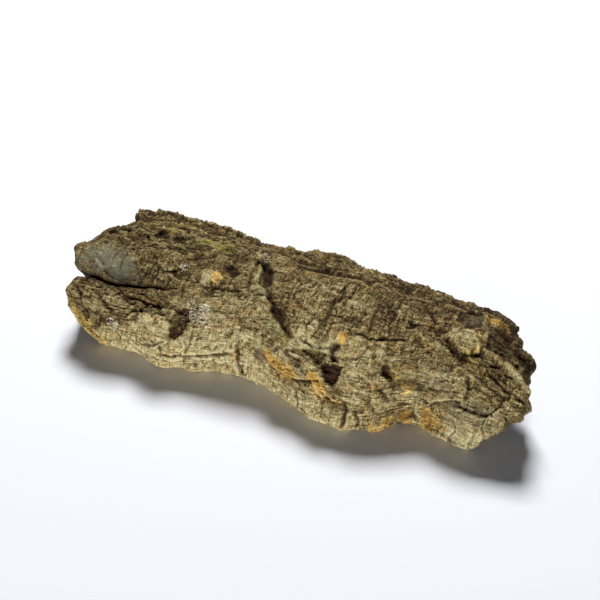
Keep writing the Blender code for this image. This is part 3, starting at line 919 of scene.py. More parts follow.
@dataclass
class Arch:
    """The smooth arch that the bark's plank is bent into, and its broken ends."""

    ridge_y: float = 12.0
    arc: float = 110.0
    foot_width: float = 26.0
    thickness: float = 38.0
    underside_rise: float = 22.0
    tuck: float = 10.0  # how far the feet draw in under the flanks
    tuck_height: float = 12.0  # height at which that starts
    tuck_wander: float = 0.4  # how unevenly, as a part of it
    tuck_size: float = 13.0
    tuck_stretch: float = 4.0
    clearance: float = 0.6  # least height of what isn't a foot
    fullness: tuple[float, float] = (0.94, 0.86)  # under 1 squares the arch's section
    tear: float = 2.6  # how far the end faces are torn in and out
    tear_size: float = 11.0
    underside_lumps: float = 2.0
    underside_lump_size: float = 60.0
    side_ease: float = 8.0
    end_ease: float = 0.8
    end_line_ease: float = 26.0  # easing of the grid's own end lines
    end_draw: float = 34.0  # how far in the ragged ends are taken up by the grid
    near_foot: Path = ((-230, -60), (-165, -68), (-130, -63), (-105, -70), (-85, -64),
                       (-60, -57), (-42, -55), (-14, -54), (5, -62), (27, -72), (57, -76),
                       (85, -69), (102, -52), (117, -45), (137, -50), (160, -55),
                       (230, -50))
    far_foot: Path = ((-230, 86), (-150, 92), (-60, 88), (20, 93), (90, 86), (150, 84),
                      (230, 80))
    crown: Path = ((-230, 66), (-190, 68), (-165, 67), (-110, 68.5), (-75, 71), (-40, 71.5),
                   (0, 70.5), (60, 74), (100, 69.5), (125, 69.5), (145, 72), (180, 66),
                   (230, 58))
    left_end: Path = ((-110, -167), (-103, -173), (-97, -181), (-88, -191), (-78, -199),
                      (-70, -203), (-64, -204), (-58, -202), (-52, -201), (-48, -198),
                      (-45.5, -186), (-43.5, -186), (-41, -200), (-38, -205), (-30, -208),
                      (-24, -212), (-20, -210), (-18, -204), (-10, -205), (0, -202),
                      (5, -196), (10, -187), (16, -180), (24, -176), (32, -179),
                      (37, -187), (45, -192), (60, -195), (75, -186), (95, -181),
                      (110, -178))
    right_end: Path = ((-110, 165), (-99, 172), (-84, 183), (-76, 188), (-69, 190),
                       (-61, 195), (-53, 199), (-38, 200), (-33, 202), (-27, 195),
                       (-20, 190), (-14, 191), (-11, 196), (0, 195), (6, 188), (8, 183),
                       (14, 181), (19, 179), (22, 175), (30, 173), (45, 172), (56, 168),
                       (63, 163), (80, 168), (95, 160), (110, 156))
    grain: Grain = Grain(41)

    def ends(self, arc: Array, t: Array) -> tuple[Array, Array, Array, Array]:
        """Finds the grid's end lines and how far the broken ends stray from them.

        Args:
            arc: Places over the arch.
            t: Places through the bark, 0 at the underside.

        Returns:
            The left and right end lines, then the strays there.
        """
        left = along(arc, self.left_end, self.end_line_ease)
        right = along(arc, self.right_end, self.end_line_ease)
        depth = t * self.thickness
        torn = self.tear * self.grain.layers(arc, depth, self.tear_size, 3, step=0)
        torn_right = self.tear * self.grain.layers(arc, depth, self.tear_size, 3, step=10)
        stray_left = along(arc, self.left_end, self.end_ease) - left - torn
        stray_right = along(arc, self.right_end, self.end_ease) - right + torn_right
        return left, right, stray_left, stray_right

    def x_at(self, u: Array, arc: Array, t: Array) -> tuple[Array, Array]:
        """Places the grid along the bark.

        Args:
            u: Grid places along, 0 to 1.
            arc: Places over the arch.
            t: Places through the bark.

        Returns:
            x, and the distance to the nearer broken end.
        """
        left, right, stray_left, stray_right = self.ends(arc, t)
        span = right - left
        x = left + span * u
        x = x + stray_left * np.exp(-u * span / self.end_draw)
        x = x + stray_right * np.exp(-(1.0 - u) * span / self.end_draw)
        return x, np.minimum(u, 1.0 - u) * span

    def bend(self, x: Array, arc: Array, t: Array, height: Array) -> Array:
        """Bends places in the plank into the arch.

        Args:
            x: Places along.
            arc: Places over.
            t: Places through, 1 at the weathered side.
            height: Relief of the weathered side there.

        Returns:
            Points, one to a row, in millimetres.
        """
        turn = arc / self.arc * math.pi / 2.0
        near = along(x, self.near_foot, self.side_ease)
        far = along(x, self.far_foot, self.side_ease)
        crown = along(x, self.crown, self.side_ease)
        reach = np.where(turn < 0.0, self.ridge_y - near, far - self.ridge_y)
        sine, cosine = np.sin(turn), np.cos(turn)
        out_y = np.sign(sine) * np.abs(sine) ** self.fullness[0]
        out_z = np.abs(cosine) ** self.fullness[1]
        normal_y, normal_z = sine / reach, cosine / crown
        length = np.hypot(normal_y, normal_z)
        skin_y = self.ridge_y + reach * out_y + height * normal_y / length
        skin_z = crown * out_z + height * normal_z / length
        uneven = self.grain.layers(x, arc / self.tuck_stretch, self.tuck_size, 3, step=30)
        ragged = 1.0 + self.tuck_wander * uneven
        tuck = self.tuck * np.clip(1.0 - skin_z / self.tuck_height, 0.0, 1.0) ** 2 * ragged
        skin_y = skin_y - np.sign(sine) * tuck
        rise = np.maximum(crown - self.thickness, self.underside_rise)
        lumps = self.grain.layers(x, arc, self.underside_lump_size, 3, step=20)
        rise = rise + self.underside_lumps * lumps
        under_y = self.ridge_y + (reach - self.foot_width) * out_y
        under_z = rise * out_z
        y = under_y + (skin_y - under_y) * t
        z = under_z + (skin_z - under_z) * t
        grounded = np.abs(arc) > self.arc - 1e-6
        z = np.where(grounded, 0.0, np.maximum(z, self.clearance))
        return np.stack((x, y, z), -1)


@dataclass(frozen=True)
class Shingles:
    """Plates, flakes or scales that lie over the bark like shingles.

    Each pair holds a number for sound bark and how much more there is where it is torn.
    """

    size: tuple[float, float]  # along and over the bark
    step: int  # which of the grain's patterns
    offset: tuple[float, float]  # how much the shingles differ in height
    tilt: tuple[float, float]  # how much each one is tipped
    seam: tuple[float, float]  # how open the cracks between them are
    seam_width: float
    seam_depth: float
    gap_size: float  # how long the stretches with and without cracks are
    gap_step: int
    gap_range: tuple[float, float]  # noise levels at which the cracks start and are whole

    def lay(self, spots: tuple[Array, Array], bent: tuple[Array, Array], shaggy: Array,
            grain: Grain) -> tuple[Array, Array]:
        """Lays the shingles.

        Args:
            spots: Places along and over the bark.
            bent: The same places, warped so that rows of shingles wander.
            shaggy: How torn the surface is, from 0 to 1.
            grain: Noise that shapes them.

        Returns:
            The heights, and how much each place is in a crack between shingles.
        """
        offset, tilt, seam = (sound + torn * shaggy for sound, torn in
                              (self.offset, self.tilt, self.seam))
        gap, number, slope = grain.cells(*bent, *self.size, self.step)
        cracks = np.exp(-(gap / self.seam_width) ** 2) * seam
        broken = grain.layers(*spots, self.gap_size, 2, step=self.gap_step)
        return (number - 0.5) * offset + slope * tilt, cracks * ramp(broken, *self.gap_range)


@dataclass
class WeatheredSide:
    """The relief and the covers of the bark's weathered side."""

    grain: Grain = Grain(7)
    regions: tuple[Region, ...] = field(default_factory=lambda: (
        left_lobes(), pale_flank(), middle_plates(), right_plates(), far_side()))
    lumps: tuple[tuple[float, float], ...] = ((70.0, 3.0), (34.0, 1.8), (17.0, 1.3))
    plates: Shingles = Shingles((44.0, 25.0), 3, (2.8, 0.0), (2.2, 0.0), (1.0, 0.0), 1.2, 0.7,
                                30.0, 38, (-0.1, 0.6))
    flakes: Shingles = Shingles((19.0, 12.0), 1, (0.9, 1.3), (0.8, 1.4), (0.25, 0.55), 0.9,
                                0.8, 24.0, 34, (-0.45, 0.3))
    scales: Shingles = Shingles((12.0, 4.5), 2, (0.2, 0.45), (0.2, 0.6), (0.0, 1.0), 0.6, 0.4,
                                15.0, 36, (-0.3, 0.4))
    bend: tuple[float, float] = (4.0, 3.0)  # how far rows of shingles wander
    bend_size: float = 30.0
    layer: float = 1.7  # thickness of one year's cork
    layer_bend: float = 2.8  # how far the years' layers wave up and down
    terracing: tuple[float, float] = (0.65, 0.5)  # where sound, and more where torn
    scraped: float = 0.45  # how much of all this the pale cork has lost
    bumps: tuple[float, float, float] = (0.55, 6.0, 2.2)  # height, size, stretch along
    fibres: tuple[float, float, float] = (0.2, 2.1, 5.0)
    checks: tuple[float, float, float] = (0.26, 9.0, 0.24)  # across the fibres
    pore_size: float = 4.6
    pore_depth: float = 1.2
    # Painted shade under ledges and in wrinkles, which the crack mask carries
    dark_ledge: float = 4.0  # height from which the painted shade under a ledge is at its darkest
    undercut_shade: float = 0.7
    wrinkle_shade: float = 0.8
    jag: float = 1.2  # how far torn edges wander
    jag_size: float = 9.0
    end_sink: float = 3.0  # how far the surface sinks at the broken ends
    end_sink_reach: float = 4.0

    def relief(self, x: Array, arc: Array, end_gap: Array) -> dict[str, Array]:
        """Works out the weathered side's height and its masks.

        Args:
            x: Places along.
            arc: Places over.
            end_gap: Distances to the nearer broken end.

        Returns:
            The height in millimetres, and a mask for each cover and for "crack", the painted
            shade in crevices, wrinkles, seams, pores, sunk blocks and under ledges, from 0 to 1.
        """
        grain = self.grain
        # Edges wander as torn cork does, so every outline is read through a jagged warp
        jag_x = self.jag * grain.layers(x, arc, self.jag_size, 4, keep=0.62, step=8)
        jag_arc = self.jag * grain.layers(x, arc, self.jag_size, 4, keep=0.62, step=12)
        near_x, near_arc = x + jag_x, arc + jag_arc
        masks = self.covers(x, arc)
        # crack gathers painted shade: in crevices, wrinkles, seams and pores, in sunk blocks and
        # under ledges
        crack = np.zeros(x.shape)
        height = np.zeros(x.shape)
        for step, (size, rise) in enumerate(self.lumps):
            height += rise * grain.wave(x / size, arc / size, 20 + step)
        for number, region in enumerate(self.regions):
            for swelling in region.swellings:
                height += swelling.height(near_x, near_arc)
            for ledge in region.ledges:
                rise, lip, under = ledge.raise_plate(near_x, near_arc)
                height += rise
                masks["fresh"] = np.maximum(masks["fresh"], lip * ledge.fresh)
                masks["rust"] = np.maximum(masks["rust"], under * ledge.rust)
                # Painted shade under the ledge's lip
                shade = min(1.0, ledge.rise / self.dark_ledge) * self.undercut_shade
                crack = np.maximum(crack, under * shade)
            for block in region.blocks:
                share = block.share(near_x, near_arc)
                height += block.rise * share
                if block.rise < 0.0:
                    # A sunk block fills with painted shade
                    crack = np.maximum(crack, share * block.dark)
                    masks["rust"] = np.maximum(masks["rust"], share * block.rust)
            for crevice in region.crevices:
                cut, share = crevice.carve(near_x, near_arc)
                height -= cut
                # Painted shade along the crevice
                crack = np.maximum(crack, share)
                masks["rust"] = np.maximum(masks["rust"], share * crevice.rust)
            for order, wrinkles in enumerate(region.wrinkles):
                cut, share = wrinkles.carve(near_x, near_arc, grain,
                                            100 + 20 * number + 4 * order)
                height -= cut
                # Painted shade in the wrinkles
                crack = np.maximum(crack, self.wrinkle_shade * share)
        detail, dark = self.texture(x, arc, masks["shaggy"], masks["pale"], height)
        height += detail * (1.0 - 0.6 * np.clip(masks["bloom"], 0.0, 1.0))
        height -= self.end_sink * np.exp(-end_gap / self.end_sink_reach)
        # Painted shade in seams and pores, weaker on the smooth bloom
        smooth = 1.0 - 0.8 * np.clip(masks["bloom"], 0.0, 1.0)
        masks["crack"] = np.clip(np.maximum(crack, dark * smooth), 0.0, 1.0)
        masks["height"] = height
        return masks

    def covers(self, x: Array, arc: Array) -> dict[str, Array]:
        """Lays out the patches of each cover.

        Args:
            x: Places along.
            arc: Places over.

        Returns:
            A mask for each cover, from 0 to 1.
        """
        wander = self.grain.layers(x, arc, self.jag_size, 4, keep=0.6, step=60)
        masks = {cover.value: np.zeros(x.shape) for cover in Cover}
        for region in self.regions:
            for patch in region.patches:
                key = patch.cover.value
                masks[key] = np.maximum(masks[key], patch.share(x, arc, wander))
        return masks

    def texture(self, x: Array, arc: Array, shaggy: Array, pale: Array,
                height: Array) -> tuple[Array, Array]:
        """Adds what covers all of the bark: flakes, growth layers, fibres and pores.

        Args:
            x: Places along.
            arc: Places over.
            shaggy: How torn the surface is, from 0 to 1.
            pale: How scraped it is, which leaves it smoother.
            height: The relief so far, which the growth layers follow.

        Returns:
            What to add to the height, and the painted shade in its seams and pores, from 0 to 1.
        """
        grain = self.grain
        bend_x, bend_arc = self.bend
        bend_x = bend_x * grain.layers(x, arc, self.bend_size, 3, step=1)
        bend_arc = bend_arc * grain.layers(x, arc, self.bend_size, 3, step=4)
        spots, bent = (x, arc), (x + bend_x, arc + bend_arc)
        plates, plate_seam = self.plates.lay(spots, bent, shaggy, grain)
        flakes, flake_seam = self.flakes.lay(spots, bent, shaggy, grain)
        scales, scale_seam = self.scales.lay(spots, bent, shaggy, grain)
        added = flakes + scales + plates
        added -= (self.plates.seam_depth * plate_seam + self.flakes.seam_depth * flake_seam
                  + self.scales.seam_depth * scale_seam)

        # Growth layers show as fine terraces that follow the bark's length
        lifted = height + added
        lifted += self.layer_bend * grain.layers(x, arc, 12.0, 3, stretch=2.2, step=40)
        steps = lifted / self.layer
        part = steps - np.floor(steps)
        terrace = (np.floor(steps) + ramp(part, 0.35, 0.65)) * self.layer - lifted
        sound, torn = self.terracing
        added += (sound + torn * shaggy) * terrace
        added *= 1.0 - self.scraped * np.clip(pale, 0.0, 1.0)

        for (rise, size, stretch), places, step in (
                (self.bumps, spots, 44), (self.fibres, bent, 50), (self.checks, bent, 54)):
            added += rise * grain.layers(*places, size, 2, stretch=stretch, step=step)
        pores = ramp(grain.layers(x, arc, self.pore_size, 2, keep=0.7, step=56), 0.78, 1.15)
        added -= self.pore_depth * pores
        # Painted shade in the seams between shingles and in the pores
        seams = np.maximum(np.maximum(flake_seam, plate_seam), scale_seam * 0.6)
        return added, np.maximum(0.5 * seams * (1.0 - 0.5 * pale), 0.7 * pores)


@dataclass(frozen=True)
class Shades:
    """The colours of old cork, as sRGB hex values."""

    dark: str = "2b1f10"
    brown: str = "5a4729"
    tan: str = "88774c"
    straw: str = "b5a576"
    bleached: str = "dccf9f"
    fresh_deep: str = "9c6a2c"
    fresh: str = "e0b45c"
    fresh_light: str = "f5dc96"
    amber: str = "a87f3a"
    amber_deep: str = "5f4420"
    amber_light: str = "e0b45c"
    lichen: str = "e2dcc4"
    moss: str = "a0954c"
    bloom: str = "999d89"
    rust: str = "4a241b"
    warm: str = "c49a5c"
    cool: str = "aeb3a2"
    # painted shade, for cracks, hollows and under ledges
    shadow: str = "3a2a17"


@dataclass(frozen=True)
class Figure:
    """One noise in the cork's look."""

    size: tuple[float, float, float]  # wavelengths along, over and into the bark
    detail: float  # octaves
    bend: float  # how much it is distorted
    tone: float = 0.0  # how much it lightens and darkens the cork
    rise: float = 0.0  # how much it stands proud


@dataclass(frozen=True)
class WeatheredCork:
    """Virgin cork bark: dry, dull and fibrous, so the eye sees no gloss at all.

    Fibres run along the bark and fine cracks across it, which gives a woven look. They are
    drawn at about a millimetre, coarser than the real ones, which are too fine to show.
    """

    name: str = "virgin cork, weathered"
    shades: Shades = Shades()
    roughness: float = 0.95
    specular: float = 0.2
    bump: float = 1.6  # millimetres from the noise's lowest place to its highest
    fibres: Figure = Figure((9.0, 1.25, 1.25), 3.0, 0.6, 1.0, 1.1)
    weave: Figure = Figure((1.4, 7.0, 7.0), 3.0, 0.6, 1.1, 0.85)
    speckle: Figure = Figure((1.4, 1.2, 1.2), 3.0, 0.0, 1.35, 0.55)
    mottle: Figure = Figure((10.0, 7.0, 7.0), 4.0, 0.4, 0.6, 0.5)
    broad: Figure = Figure((50.0, 30.0, 30.0), 3.0, 0.0, 0.4)
    pores: Figure = Figure((3.4, 2.6, 2.6), 2.0, 0.0, -0.16, -0.15)
    tints: Figure = Figure((13.0, 9.0, 9.0), 3.0, 0.3)
    crust: Figure = Figure((2.0, 1.8, 1.8), 4.0, 0.0)
    pore_range: tuple[float, float] = (0.41, 0.33)  # noise at a pore's rim and bottom
    tint_share: float = 0.5
    bloom_share: float = 0.45
    rust_share: float = 0.75
    # how strongly the crack mask paints shade
    crack_shade_share: float = 0.75
    torn_fibres: float = 0.8  # how much stronger the fibres are where the cork is torn
    torn_speckle: float = -0.6

    def build(self) -> bpy.types.Material:
        """Builds the material.

        Returns:
            The material.
        """
        material = bpy.data.materials.new(self.name)
        material.use_nodes = True
        tree = material.node_tree
        shader = tree.nodes["Principled BSDF"]
        shader.inputs["Roughness"].default_value = self.roughness
        shader.inputs["Specular IOR Level"].default_value = self.specular
        grain = add(tree, "ShaderNodeAttribute", attribute_name=GRAIN).outputs["Vector"]
        masks = {name: add(tree, "ShaderNodeAttribute", attribute_name=name).outputs["Fac"]
                 for name in MASKS}

        fibres, weave, speckle, mottle, broad, pores, tints, crust = (
            self.noise(tree, grain, figure) for figure in
            (self.fibres, self.weave, self.speckle, self.mottle, self.broad, self.pores,
             self.tints, self.crust))
        pores = self.within(tree, pores, *self.pore_range)

        # Torn cork shows its fibres, scraped cork its grains
        stringy = calc(tree, "MULTIPLY_ADD", masks["shaggy"], self.torn_fibres, 1.0)
        grainy = calc(tree, "MULTIPLY_ADD", masks["shaggy"], self.torn_speckle, 1.0)
        fibres = self.scaled(tree, fibres, stringy)
        speckle = self.scaled(tree, speckle, grainy)
        tone = masks["tone"]
        for noise, figure in ((fibres, self.fibres), (weave, self.weave),
                              (speckle, self.speckle), (mottle, self.mottle),
                              (broad, self.broad)):
            centred = calc(tree, "SUBTRACT", noise, 0.5)
            tone = calc(tree, "MULTIPLY_ADD", centred, figure.tone, tone)
        tone = calc(tree, "MULTIPLY_ADD", pores, self.pores.tone, tone)
        shades = self.shades
        colour = self.ramp(tree, tone, ((0.0, shades.dark), (0.25, shades.brown),
                                        (0.5, shades.tan), (0.75, shades.straw),
                                        (1.0, shades.bleached)))
        for shade, low, high in ((shades.warm, 0.52, 0.72), (shades.cool, 0.48, 0.28)):
            share = self.within(tree, tints, low, high)
            share = calc(tree, "MULTIPLY", share, self.tint_share)
            colour = mix(tree, share, colour, linear(shade), "OVERLAY")

        fresh_tone = calc(tree, "ADD", mottle, speckle)
        fresh = self.ramp(tree, fresh_tone, ((0.7, shades.fresh_deep), (0.98, shades.fresh),
                                             (1.25, shades.fresh_light)))
        amber = self.ramp(tree, tone, ((0.1, shades.amber_deep), (0.5, shades.amber),
                                       (0.9, shades.amber_light)))
        skin = calc(tree, "MULTIPLY", masks["bloom"], self.bloom_share)
        colour = mix(tree, skin, colour, linear(shades.bloom))
        for name, shade, amount, coarse, break_up in (
                ("moss", linear(shades.moss), 0.6, mottle, 2.0),
                ("amber", amber, 0.85, mottle, 2.2),
                ("lichen", linear(shades.lichen), 0.85, crust, 3.2),
                ("fresh", fresh, 0.95, mottle, 1.0)):
            share = self.patchy(tree, masks[name], coarse, speckle, break_up)
            share = calc(tree, "MULTIPLY", share, amount)
            colour = mix(tree, share, colour, shade)
        red = calc(tree, "MULTIPLY", masks["rust"], self.rust_share)
        colour = mix(tree, red, colour, linear(shades.rust))
        # Painted shade: the crack mask darkens cracks, hollows and the cork under ledges towards
        # the shadow colour
        deep = calc(tree, "MULTIPLY", masks["crack"], self.crack_shade_share)
        colour = mix(tree, deep, colour, linear(shades.shadow))
        tree.links.new(colour, shader.inputs["Base Color"])

        # Fibres and grains stand a few tenths of a millimetre proud, and pores are sunk
        rough = calc(tree, "MULTIPLY", fibres, self.fibres.rise)
        for noise, figure in ((weave, self.weave), (speckle, self.speckle),
                              (mottle, self.mottle), (pores, self.pores)):
            rough = calc(tree, "MULTIPLY_ADD", noise, figure.rise, rough)
        bump = add(tree, "ShaderNodeBump", {"Height": rough, "Strength": 1.0,
                                            "Distance": self.bump * METRES})
        tree.links.new(bump.outputs["Normal"], shader.inputs["Normal"])
        return material

    @staticmethod
    def noise(tree: bpy.types.NodeTree, grain: bpy.types.NodeSocket,
              figure: Figure) -> bpy.types.NodeSocket:
        """Adds noise that follows the bark's grain.

        Args:
            tree: The material's tree.
            grain: Places along, over and into the bark, in millimetres.
            figure: The noise's sizes.

        Returns:
            The noise's socket, from 0 to 1.
        """
        scale = tuple(1.0 / length for length in figure.size)
        mapped = add(tree, "ShaderNodeMapping", {"Vector": grain, "Scale": scale})
        return add(tree, "ShaderNodeTexNoise",
                   {"Vector": mapped.outputs["Vector"], "Scale": 1.0,
                    "Detail": figure.detail, "Roughness": 0.62,
                    "Distortion": figure.bend}).outputs["Fac"]

    @staticmethod
    def within(tree: bpy.types.NodeTree, value: bpy.types.NodeSocket, low: float,
               high: float) -> bpy.types.NodeSocket:
        """Reads a value between two levels.

        Args:
            tree: The material's tree.
            value: What to read.
            low: The level that gives 0.
            high: The level that gives 1, which may be under low.

        Returns:
            The result's socket, from 0 to 1.
        """
        inputs = {"Value": value, "From Min": low, "From Max": high}
        return add(tree, "ShaderNodeMapRange", inputs).outputs["Result"]

    @staticmethod
    def scaled(tree: bpy.types.NodeTree, noise: bpy.types.NodeSocket,
               factor: bpy.types.NodeSocket) -> bpy.types.NodeSocket:
        """Strengthens or weakens a noise about its middle, a half.

        Args:
            tree: The material's tree.
            noise: The noise.
            factor: How much stronger it becomes.

        Returns:
            The new noise's socket.
        """
        centred = calc(tree, "SUBTRACT", noise, 0.5)
        return calc(tree, "MULTIPLY_ADD", centred, factor, 0.5)

    @staticmethod
    def ramp(tree: bpy.types.NodeTree, value: bpy.types.NodeSocket,
             stops: tuple[tuple[float, str], ...]) -> bpy.types.NodeSocket:
        """Colours a value, with stops that may lie anywhere.

        Args:
            tree: The material's tree.
            value: What to colour.
            stops: Values and sRGB hex colours, in rising order.

        Returns:
            The colour's socket.
        """
        low, high = stops[0][0], stops[-1][0]
        part = WeatheredCork.within(tree, value, low, high)
        node = add(tree, "ShaderNodeValToRGB", {"Fac": part})
        elements = node.color_ramp.elements
        while len(elements) < len(stops):
            elements.new(1.0)
        for element, (place, shade) in zip(elements, stops):
            element.position = (place - low) / (high - low)
            element.color = linear(shade)
        return node.outputs["Color"]

    @staticmethod
    def patchy(tree: bpy.types.NodeTree, share: bpy.types.NodeSocket,
               coarse: bpy.types.NodeSocket, fine: bpy.types.NodeSocket,
               amount: float) -> bpy.types.NodeSocket:
        """Breaks a mask up with noise.

        Args:
            tree: The material's tree.
            share: The mask.
            coarse: Noise that breaks it up.
            fine: Finer noise that does so too.
            amount: How much it is broken up.

        Returns:
            The broken mask's socket.
        """
        noise = calc(tree, "SUBTRACT", calc(tree, "ADD", fine, coarse), 1.0)
        lifted = calc(tree, "MULTIPLY_ADD", noise, amount * 2.0, share)
        gated = calc(tree, "MULTIPLY", lifted, share)
        return WeatheredCork.within(tree, gated, 0.12, 0.55)


def add(tree: bpy.types.NodeTree, kind: str, inputs: dict | None = None,
        **settings: object) -> bpy.types.Node:
    """Adds a node with its settings and links.

    Args:
        tree: The tree to add to.
        kind: The node's type.
        inputs: Input name or number to a value, or to a socket to link from.
        **settings: The node's own properties.

    Returns:
        The node.
    """
    node = tree.nodes.new(kind)
    for name, value in settings.items():
        setattr(node, name, value)
    for name, value in (inputs or {}).items():
        if isinstance(value, bpy.types.NodeSocket):
            tree.links.new(value, node.inputs[name])
        else:
            node.inputs[name].default_value = value
    return node


def calc(tree: bpy.types.NodeTree, operation: str, *values: object) -> bpy.types.NodeSocket:
    """Adds one sum to a tree.

    Args:
        tree: The tree to add to.
        operation: The Math node's operation.
        *values: Numbers or sockets.

    Returns:
        The sum's socket.
    """
    inputs = dict(enumerate(values))
    return add(tree, "ShaderNodeMath", inputs, operation=operation).outputs["Value"]


def mix(tree: bpy.types.NodeTree, share: object, first: object, second: object,
        blend: str = "MIX") -> bpy.types.NodeSocket:
    """Mixes two colours.

    Args:
        tree: The tree to add to.
        share: How much of the second.
        first: A colour or socket.
        second: A colour or socket.
        blend: The Mix node's way of blending.

    Returns:
        The mixed colour's socket.
    """
    inputs = {0: share, 6: first, 7: second}
    return add(tree, "ShaderNodeMix", inputs, data_type="RGBA", blend_type=blend,
               clamp_factor=True).outputs[2]


@dataclass(frozen=True)
class Toning:
    """How light the cork is, from 0 for the darkest to 1, and what lightens or darkens it."""

    plain: float = 0.40  # cork that nothing below changes
    pale: float = 0.36
    umber: float = -0.24
    top: float = -0.07
    foot: float = 0.06
    proud: float = 0.2
    # painted shade: the tone darkens in hollows
    hollow: float = -0.2
    height: float = 0.02  # for each millimetre over the arch
    hollow_shade: float = 0.3  # how much painted shade fills the hollows, through the crack mask


@dataclass
class BarkSlab:
    """The whole piece of bark."""

    along_faces: int = 384
    across_faces: int = 200
    through_faces: int = 12
    underside_step: int = 4  # the underside's faces are this many times longer and wider
    crowding: float = 0.25  # how much closer the grid is at the near foot
    wide_blur: int = 7  # half width of a hollow, in grid steps
    fine_blur: int = 2  # half width of what stands proud
    loose_torn: float = 0.2  # how thickly shreds lie where the cork is torn
    loose_lichen: float = 1.5
    loose_fresh: float = 0.4
    toning: Toning = Toning()
    arch: Arch = field(default_factory=Arch)
    skin: WeatheredSide = field(default_factory=WeatheredSide)
    finish: WeatheredCork = field(default_factory=WeatheredCork)

    def build(self) -> bpy.types.Object:
        """Builds the bark and stands it in the frame's box.

        Returns:
            The bark's object.
        """
        keys, faces = self.lattice()
        points, masks = self.shape(keys)
        low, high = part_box(NODE)
        middle = (points.min(axis=0) + points.max(axis=0)) / 2.0
        target = (np.array(low) + np.array(high)) / 2.0 / METRES
        points[:, :2] += (target - middle)[:2]
        mesh = bpy.data.meshes.new(NODE)
        mesh.from_pydata((points * METRES).tolist(), [], faces)
        mesh.shade_smooth()
        for name in MASKS:
            layer = mesh.attributes.new(name, "FLOAT", "POINT")
            layer.data.foreach_set("value", masks[name].astype(np.float32))
        layer = mesh.attributes.new(GRAIN, "FLOAT_VECTOR", "POINT")
        layer.data.foreach_set("vector", masks[GRAIN].astype(np.float32).ravel())
        layer = mesh.attributes.new(LOOSE, "FLOAT", "POINT")
        layer.data.foreach_set("value", masks[LOOSE].astype(np.float32))
        mesh.materials.append(self.finish.build())
        bark = bpy.data.objects.new("weathered_bark", mesh)
        bpy.context.scene.collection.objects.link(bark)
        LOG.info("bark: %d points, %d faces", len(points), len(faces))
        return bark

    def lattice(self) -> tuple[Array, list[tuple[int, ...]]]:
        """Makes the closed grid over the plank's six sides.

        Returns:
            The grid places (along, across, through) of each point, and the faces.
        """
        nu, nv, nt = self.along_faces, self.across_faces, self.through_faces
        numbers = np.full((nu + 1, nv + 1, nt + 1), -1, int)
        step = self.underside_step
        numbers[:, :, nt] = 0
        numbers[0] = numbers[nu] = 0
        numbers[:, 0] = numbers[:, nv] = 0
        numbers[::step, ::step, 0] = 0
        used = np.argwhere(numbers == 0)
        numbers[tuple(used.T)] = np.arange(len(used))

        def quads(corner: Array, flip: bool) -> list[tuple[int, ...]]:
            """Joins a grid of points into faces.

            Args:
                corner: The grid's point numbers.
                flip: Whether the faces look the other way.

            Returns:
                The faces' point numbers.
            """
            a, b = corner[:-1, :-1].ravel(), corner[1:, :-1].ravel()
            c, d = corner[1:, 1:].ravel(), corner[:-1, 1:].ravel()
            order = (a, d, c, b) if flip else (a, b, c, d)
            return list(zip(*(side.tolist() for side in order)))

        faces = quads(numbers[:, :, nt], False)
        faces += quads(numbers[:, 0, :], False)
        faces += quads(numbers[:, nv, :], True)
        faces += quads(numbers[0, :, :], True)
        faces += quads(numbers[nu, :, :], False)
        floor = numbers[:, :, 0]
        for i in range(0, nu, step):
            for j in range(0, nv, step):
                faces.append(self.floor_face(floor, i, j))
        return used.astype(float) / (nu, nv, nt), faces

    def floor_face(self, floor: Array, i: int, j: int) -> tuple[int, ...]:
        """One face of the underside, which takes in the finer points along its rim.

        Args:
            floor: Point numbers of the underside.
            i: The face's first column.
            j: The face's first row.

        Returns:
            The face's point numbers, facing down.
        """
        step = self.underside_step
        nu, nv = self.along_faces, self.across_faces
        up = list(range(j, j + step + 1)) if i == 0 else [j, j + step]
        over = list(range(i, i + step + 1)) if j + step == nv else [i, i + step]
        down = list(range(j, j + step + 1)) if i + step == nu else [j, j + step]
        back = list(range(i, i + step + 1)) if j == 0 else [i, i + step]
        ring = [(i, row) for row in up]
        ring += [(column, j + step) for column in over[1:]]
        ring += [(i + step, row) for row in reversed(down[:-1])]
        ring += [(column, j) for column in reversed(back[1:-1])]
        return tuple(int(floor[place]) for place in ring)

    def shape(self, keys: Array) -> tuple[Array, dict[str, Array]]:
        """Bends the grid into the bark.

        Args:
            keys: Grid places of each point.

        Returns:
            The points in millimetres, a mask for each name in MASKS, and GRAIN.
        """
        nu, nv = self.along_faces, self.across_faces
        u = np.linspace(0.0, 1.0, nu + 1)[:, None] + np.zeros((1, nv + 1))
        v = np.linspace(0.0, 1.0, nv + 1)[None, :] + np.zeros((nu + 1, 1))
        skin_arc = self.arc_of(v)
        skin_x, end_gap = self.arch.x_at(u, skin_arc, np.ones(u.shape))
        masks = self.skin.relief(skin_x, skin_arc, end_gap)
        height = masks.pop("height")
        wide, fine = blurred(height, self.wide_blur), blurred(height, self.fine_blur)
        # How far each place lies below its surroundings, where painted shade darkens it
        hollow = ramp(wide - height, 0.3, 2.4)
        proud = ramp(height - fine, 0.05, 0.5)
        weights = self.toning
        tone = weights.plain
        for weight, share in ((weights.pale, masks["pale"]), (weights.umber, masks["umber"]),
                              (weights.top, ramp(skin_arc, -50.0, 10.0)),
                              (weights.foot, ramp(skin_arc, -70.0, -95.0)),
                              (weights.proud, proud), (weights.hollow, hollow),
                              (weights.height, np.clip(height, -4.0, 4.0))):
            tone = tone + weight * share
        masks["tone"] = np.clip(tone, 0.0, 1.2)
